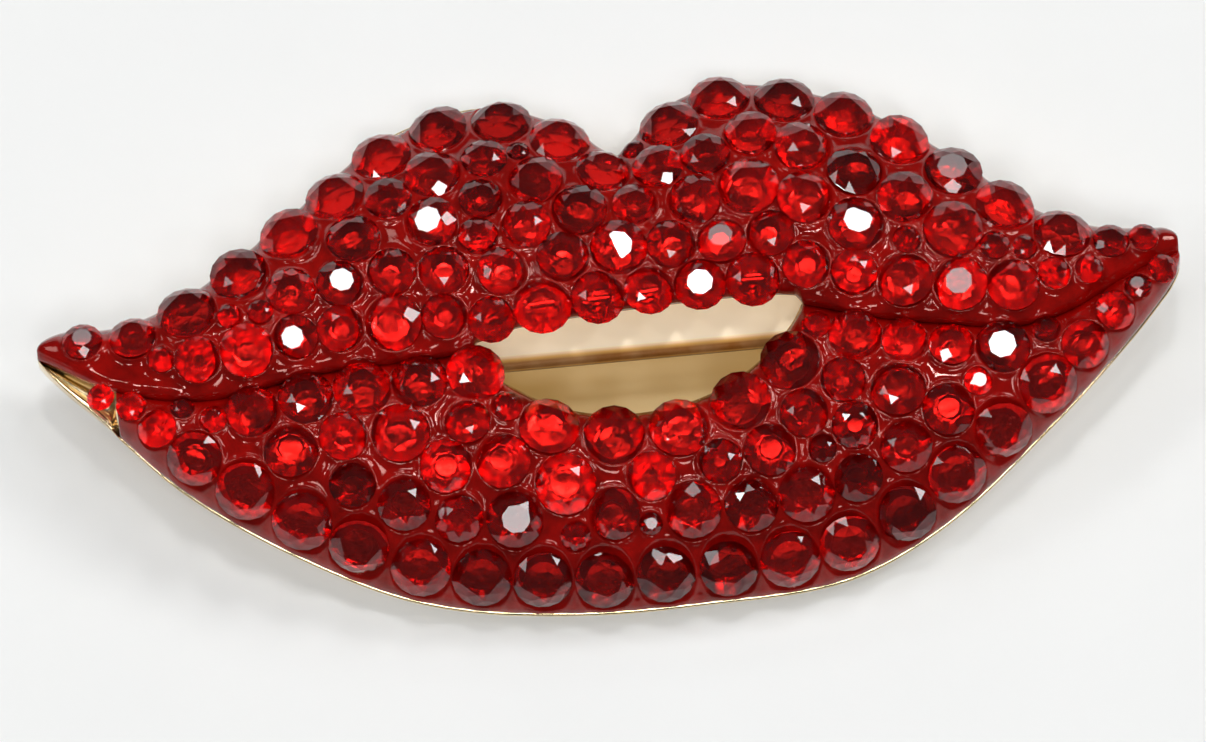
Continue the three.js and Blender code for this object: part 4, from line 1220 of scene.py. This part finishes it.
def surface_material(context):
    """The pale surface: faintly mottled paper with a weak glow. Under the brooch there is a painted
    reflection of the
    plate: a gold tint and glow that stand for the light it throws there. It is clear from below so that the
    back can be seen."""
    rgba = tuple(context.scene.brooch_colours.floor)
    material, tree, shader = new_material("pale_surface")
    clouds = grain(tree, 60.0, 0.0, 1.0)
    tinted = ramp_between(tree, clouds.outputs["Mask"], shaded(rgba, 0.985), shaded(rgba, 1.01))
    shader.inputs["Roughness"].default_value = 0.9
    shader.inputs["Specular IOR Level"].default_value = 0.2
    shape = add(tree, "ShaderNodeMapping", Location=GOLD_BOUNCE_OFFSET, Scale=GOLD_BOUNCE_SCALE)
    shape.vector_type = "POINT"
    reach = tree.nodes.new("ShaderNodeVectorMath")
    reach.operation = "LENGTH"
    glow = add(tree, "ShaderNodeMapRange", From_Min=GOLD_BOUNCE_EDGE[0], From_Max=GOLD_BOUNCE_EDGE[1])
    glow.interpolation_type = "SMOOTHSTEP"
    tree.links.new(object_coordinates(tree), shape.inputs["Vector"])
    tree.links.new(shape.outputs["Vector"], reach.inputs[0])
    tree.links.new(reach.outputs["Value"], glow.inputs["Value"])
    # Painted reflection: inside the ellipse the surface turns gold and glows, standing for light thrown by
    # the plate.
    ground_with_painted_bounce = ramp_between(tree, glow.outputs["Result"], PAPER_GLOW, GOLD_BOUNCE_TINT)
    tree.links.new(tinted, ground_with_painted_bounce.node.inputs["A"])
    tree.links.new(ground_with_painted_bounce, shader.inputs["Base Color"])
    lit = ramp_between(tree, glow.outputs["Result"], PAPER_GLOW, GOLD_BOUNCE_GLOW)
    tree.links.new(lit, shader.inputs["Emission Color"])
    shader.inputs["Emission Strength"].default_value = 1.0
    side = tree.nodes.new("ShaderNodeNewGeometry")
    clear = tree.nodes.new("ShaderNodeBsdfTransparent")
    mix = tree.nodes.new("ShaderNodeMixShader")
    output = next(node for node in tree.nodes if node.type == "OUTPUT_MATERIAL")
    tree.links.new(side.outputs["Backfacing"], mix.inputs["Fac"])
    tree.links.new(shader.outputs["BSDF"], mix.inputs[1])
    tree.links.new(clear.outputs["BSDF"], mix.inputs[2])
    tree.links.new(mix.outputs["Shader"], output.inputs["Surface"])
    return material


class BROOCH_OT_stage(Operator):
    """Lays the pale surface and sets up the studio light and the camera"""

    bl_idname = "brooch.stage"
    bl_label = "Stage"

    def execute(self, context):
        scene = context.scene
        half = FLOOR_HALF
        corners = [(-half, -half, 0), (half, -half, 0), (half, half, 0), (-half, half, 0)]
        floor = new_piece("pale_surface", corners, [[0, 1, 2, 3]], [surface_material(context)])
        for name, (azimuth, elevation, distance, size, strength) in STUDIO_LIGHTS.items():
            soft_light(name, direction(azimuth, elevation, distance), size, strength)
        distance, size, strength = GLINT_SPOT
        for azimuth, elevation in GLINT_SPOTS:
            soft_light(f"{azimuth % 360}_spot", direction(azimuth, elevation, distance), size, strength)
        world = bpy.data.worlds.new("studio")
        world.use_nodes = True
        background = next(node for node in world.node_tree.nodes if node.type == "BACKGROUND")
        background.inputs["Color"].default_value = ROOM_COLOUR
        background.inputs["Strength"].default_value = ROOM_STRENGTH
        scene.world = world
        scene.view_settings.view_transform = "Standard"
        camera = bpy.data.cameras.new("camera")
        camera.sensor_width = SENSOR_WIDTH
        camera.lens = SENSOR_WIDTH * CAMERA_DISTANCE / FRAME_WIDTH_AT_BROOCH
        camera.clip_start = NEAR_LIMIT
        eye = bpy.data.objects.new("camera", camera)
        flat = math.cos(CAMERA_ELEVATION) * CAMERA_DISTANCE
        offset = Vector((flat * math.sin(CAMERA_TURN), -flat * math.cos(CAMERA_TURN),
                         CAMERA_DISTANCE * math.sin(CAMERA_ELEVATION)))
        eye.location = AIM + offset
        eye.rotation_euler = (-offset).to_track_quat("-Z", "Y").to_euler()
        scene.collection.objects.link(eye)
        scene.camera = eye
        return {"FINISHED"}


# ---- Panel and registration ----------------------------------------------------------------------


class BROOCH_PT_panel(Panel):
    """The brooch's pieces and settings"""

    bl_label = "Lips brooch"
    bl_idname = "BROOCH_PT_panel"
    bl_space_type = "VIEW_3D"
    bl_region_type = "UI"
    bl_category = "Brooch"

    def draw(self, context):
        for settings in (getattr(context.scene, name) for name in SETTINGS):
            box = self.layout.box()
            for name in settings.__annotations__:
                box.prop(settings, name)
        for operator in OPERATORS:
            self.layout.operator(operator.bl_idname)


SETTINGS = {
    "brooch_sizes": BroochSizes,
    "brooch_stones": StoneSettings,
    "brooch_colours": BroochColours,
}
OPERATORS = (BROOCH_OT_stage, BROOCH_OT_casting, BROOCH_OT_enamel, BROOCH_OT_stones, BROOCH_OT_fittings)


def register():
    for kind in (*SETTINGS.values(), *OPERATORS, BROOCH_PT_panel):
        bpy.utils.register_class(kind)
    for name, kind in SETTINGS.items():
        setattr(bpy.types.Scene, name, PointerProperty(type=kind))


def unregister():
    for name in SETTINGS:
        delattr(bpy.types.Scene, name)
    for kind in (BROOCH_PT_panel, *reversed(OPERATORS), *reversed(SETTINGS.values())):
        bpy.utils.unregister_class(kind)


def main():
    register()
    bpy.ops.brooch.stage()
    bpy.ops.brooch.casting()
    bpy.ops.brooch.enamel()
    bpy.ops.brooch.stones()
    bpy.ops.brooch.fittings()


if __name__ == "__main__":
    main()
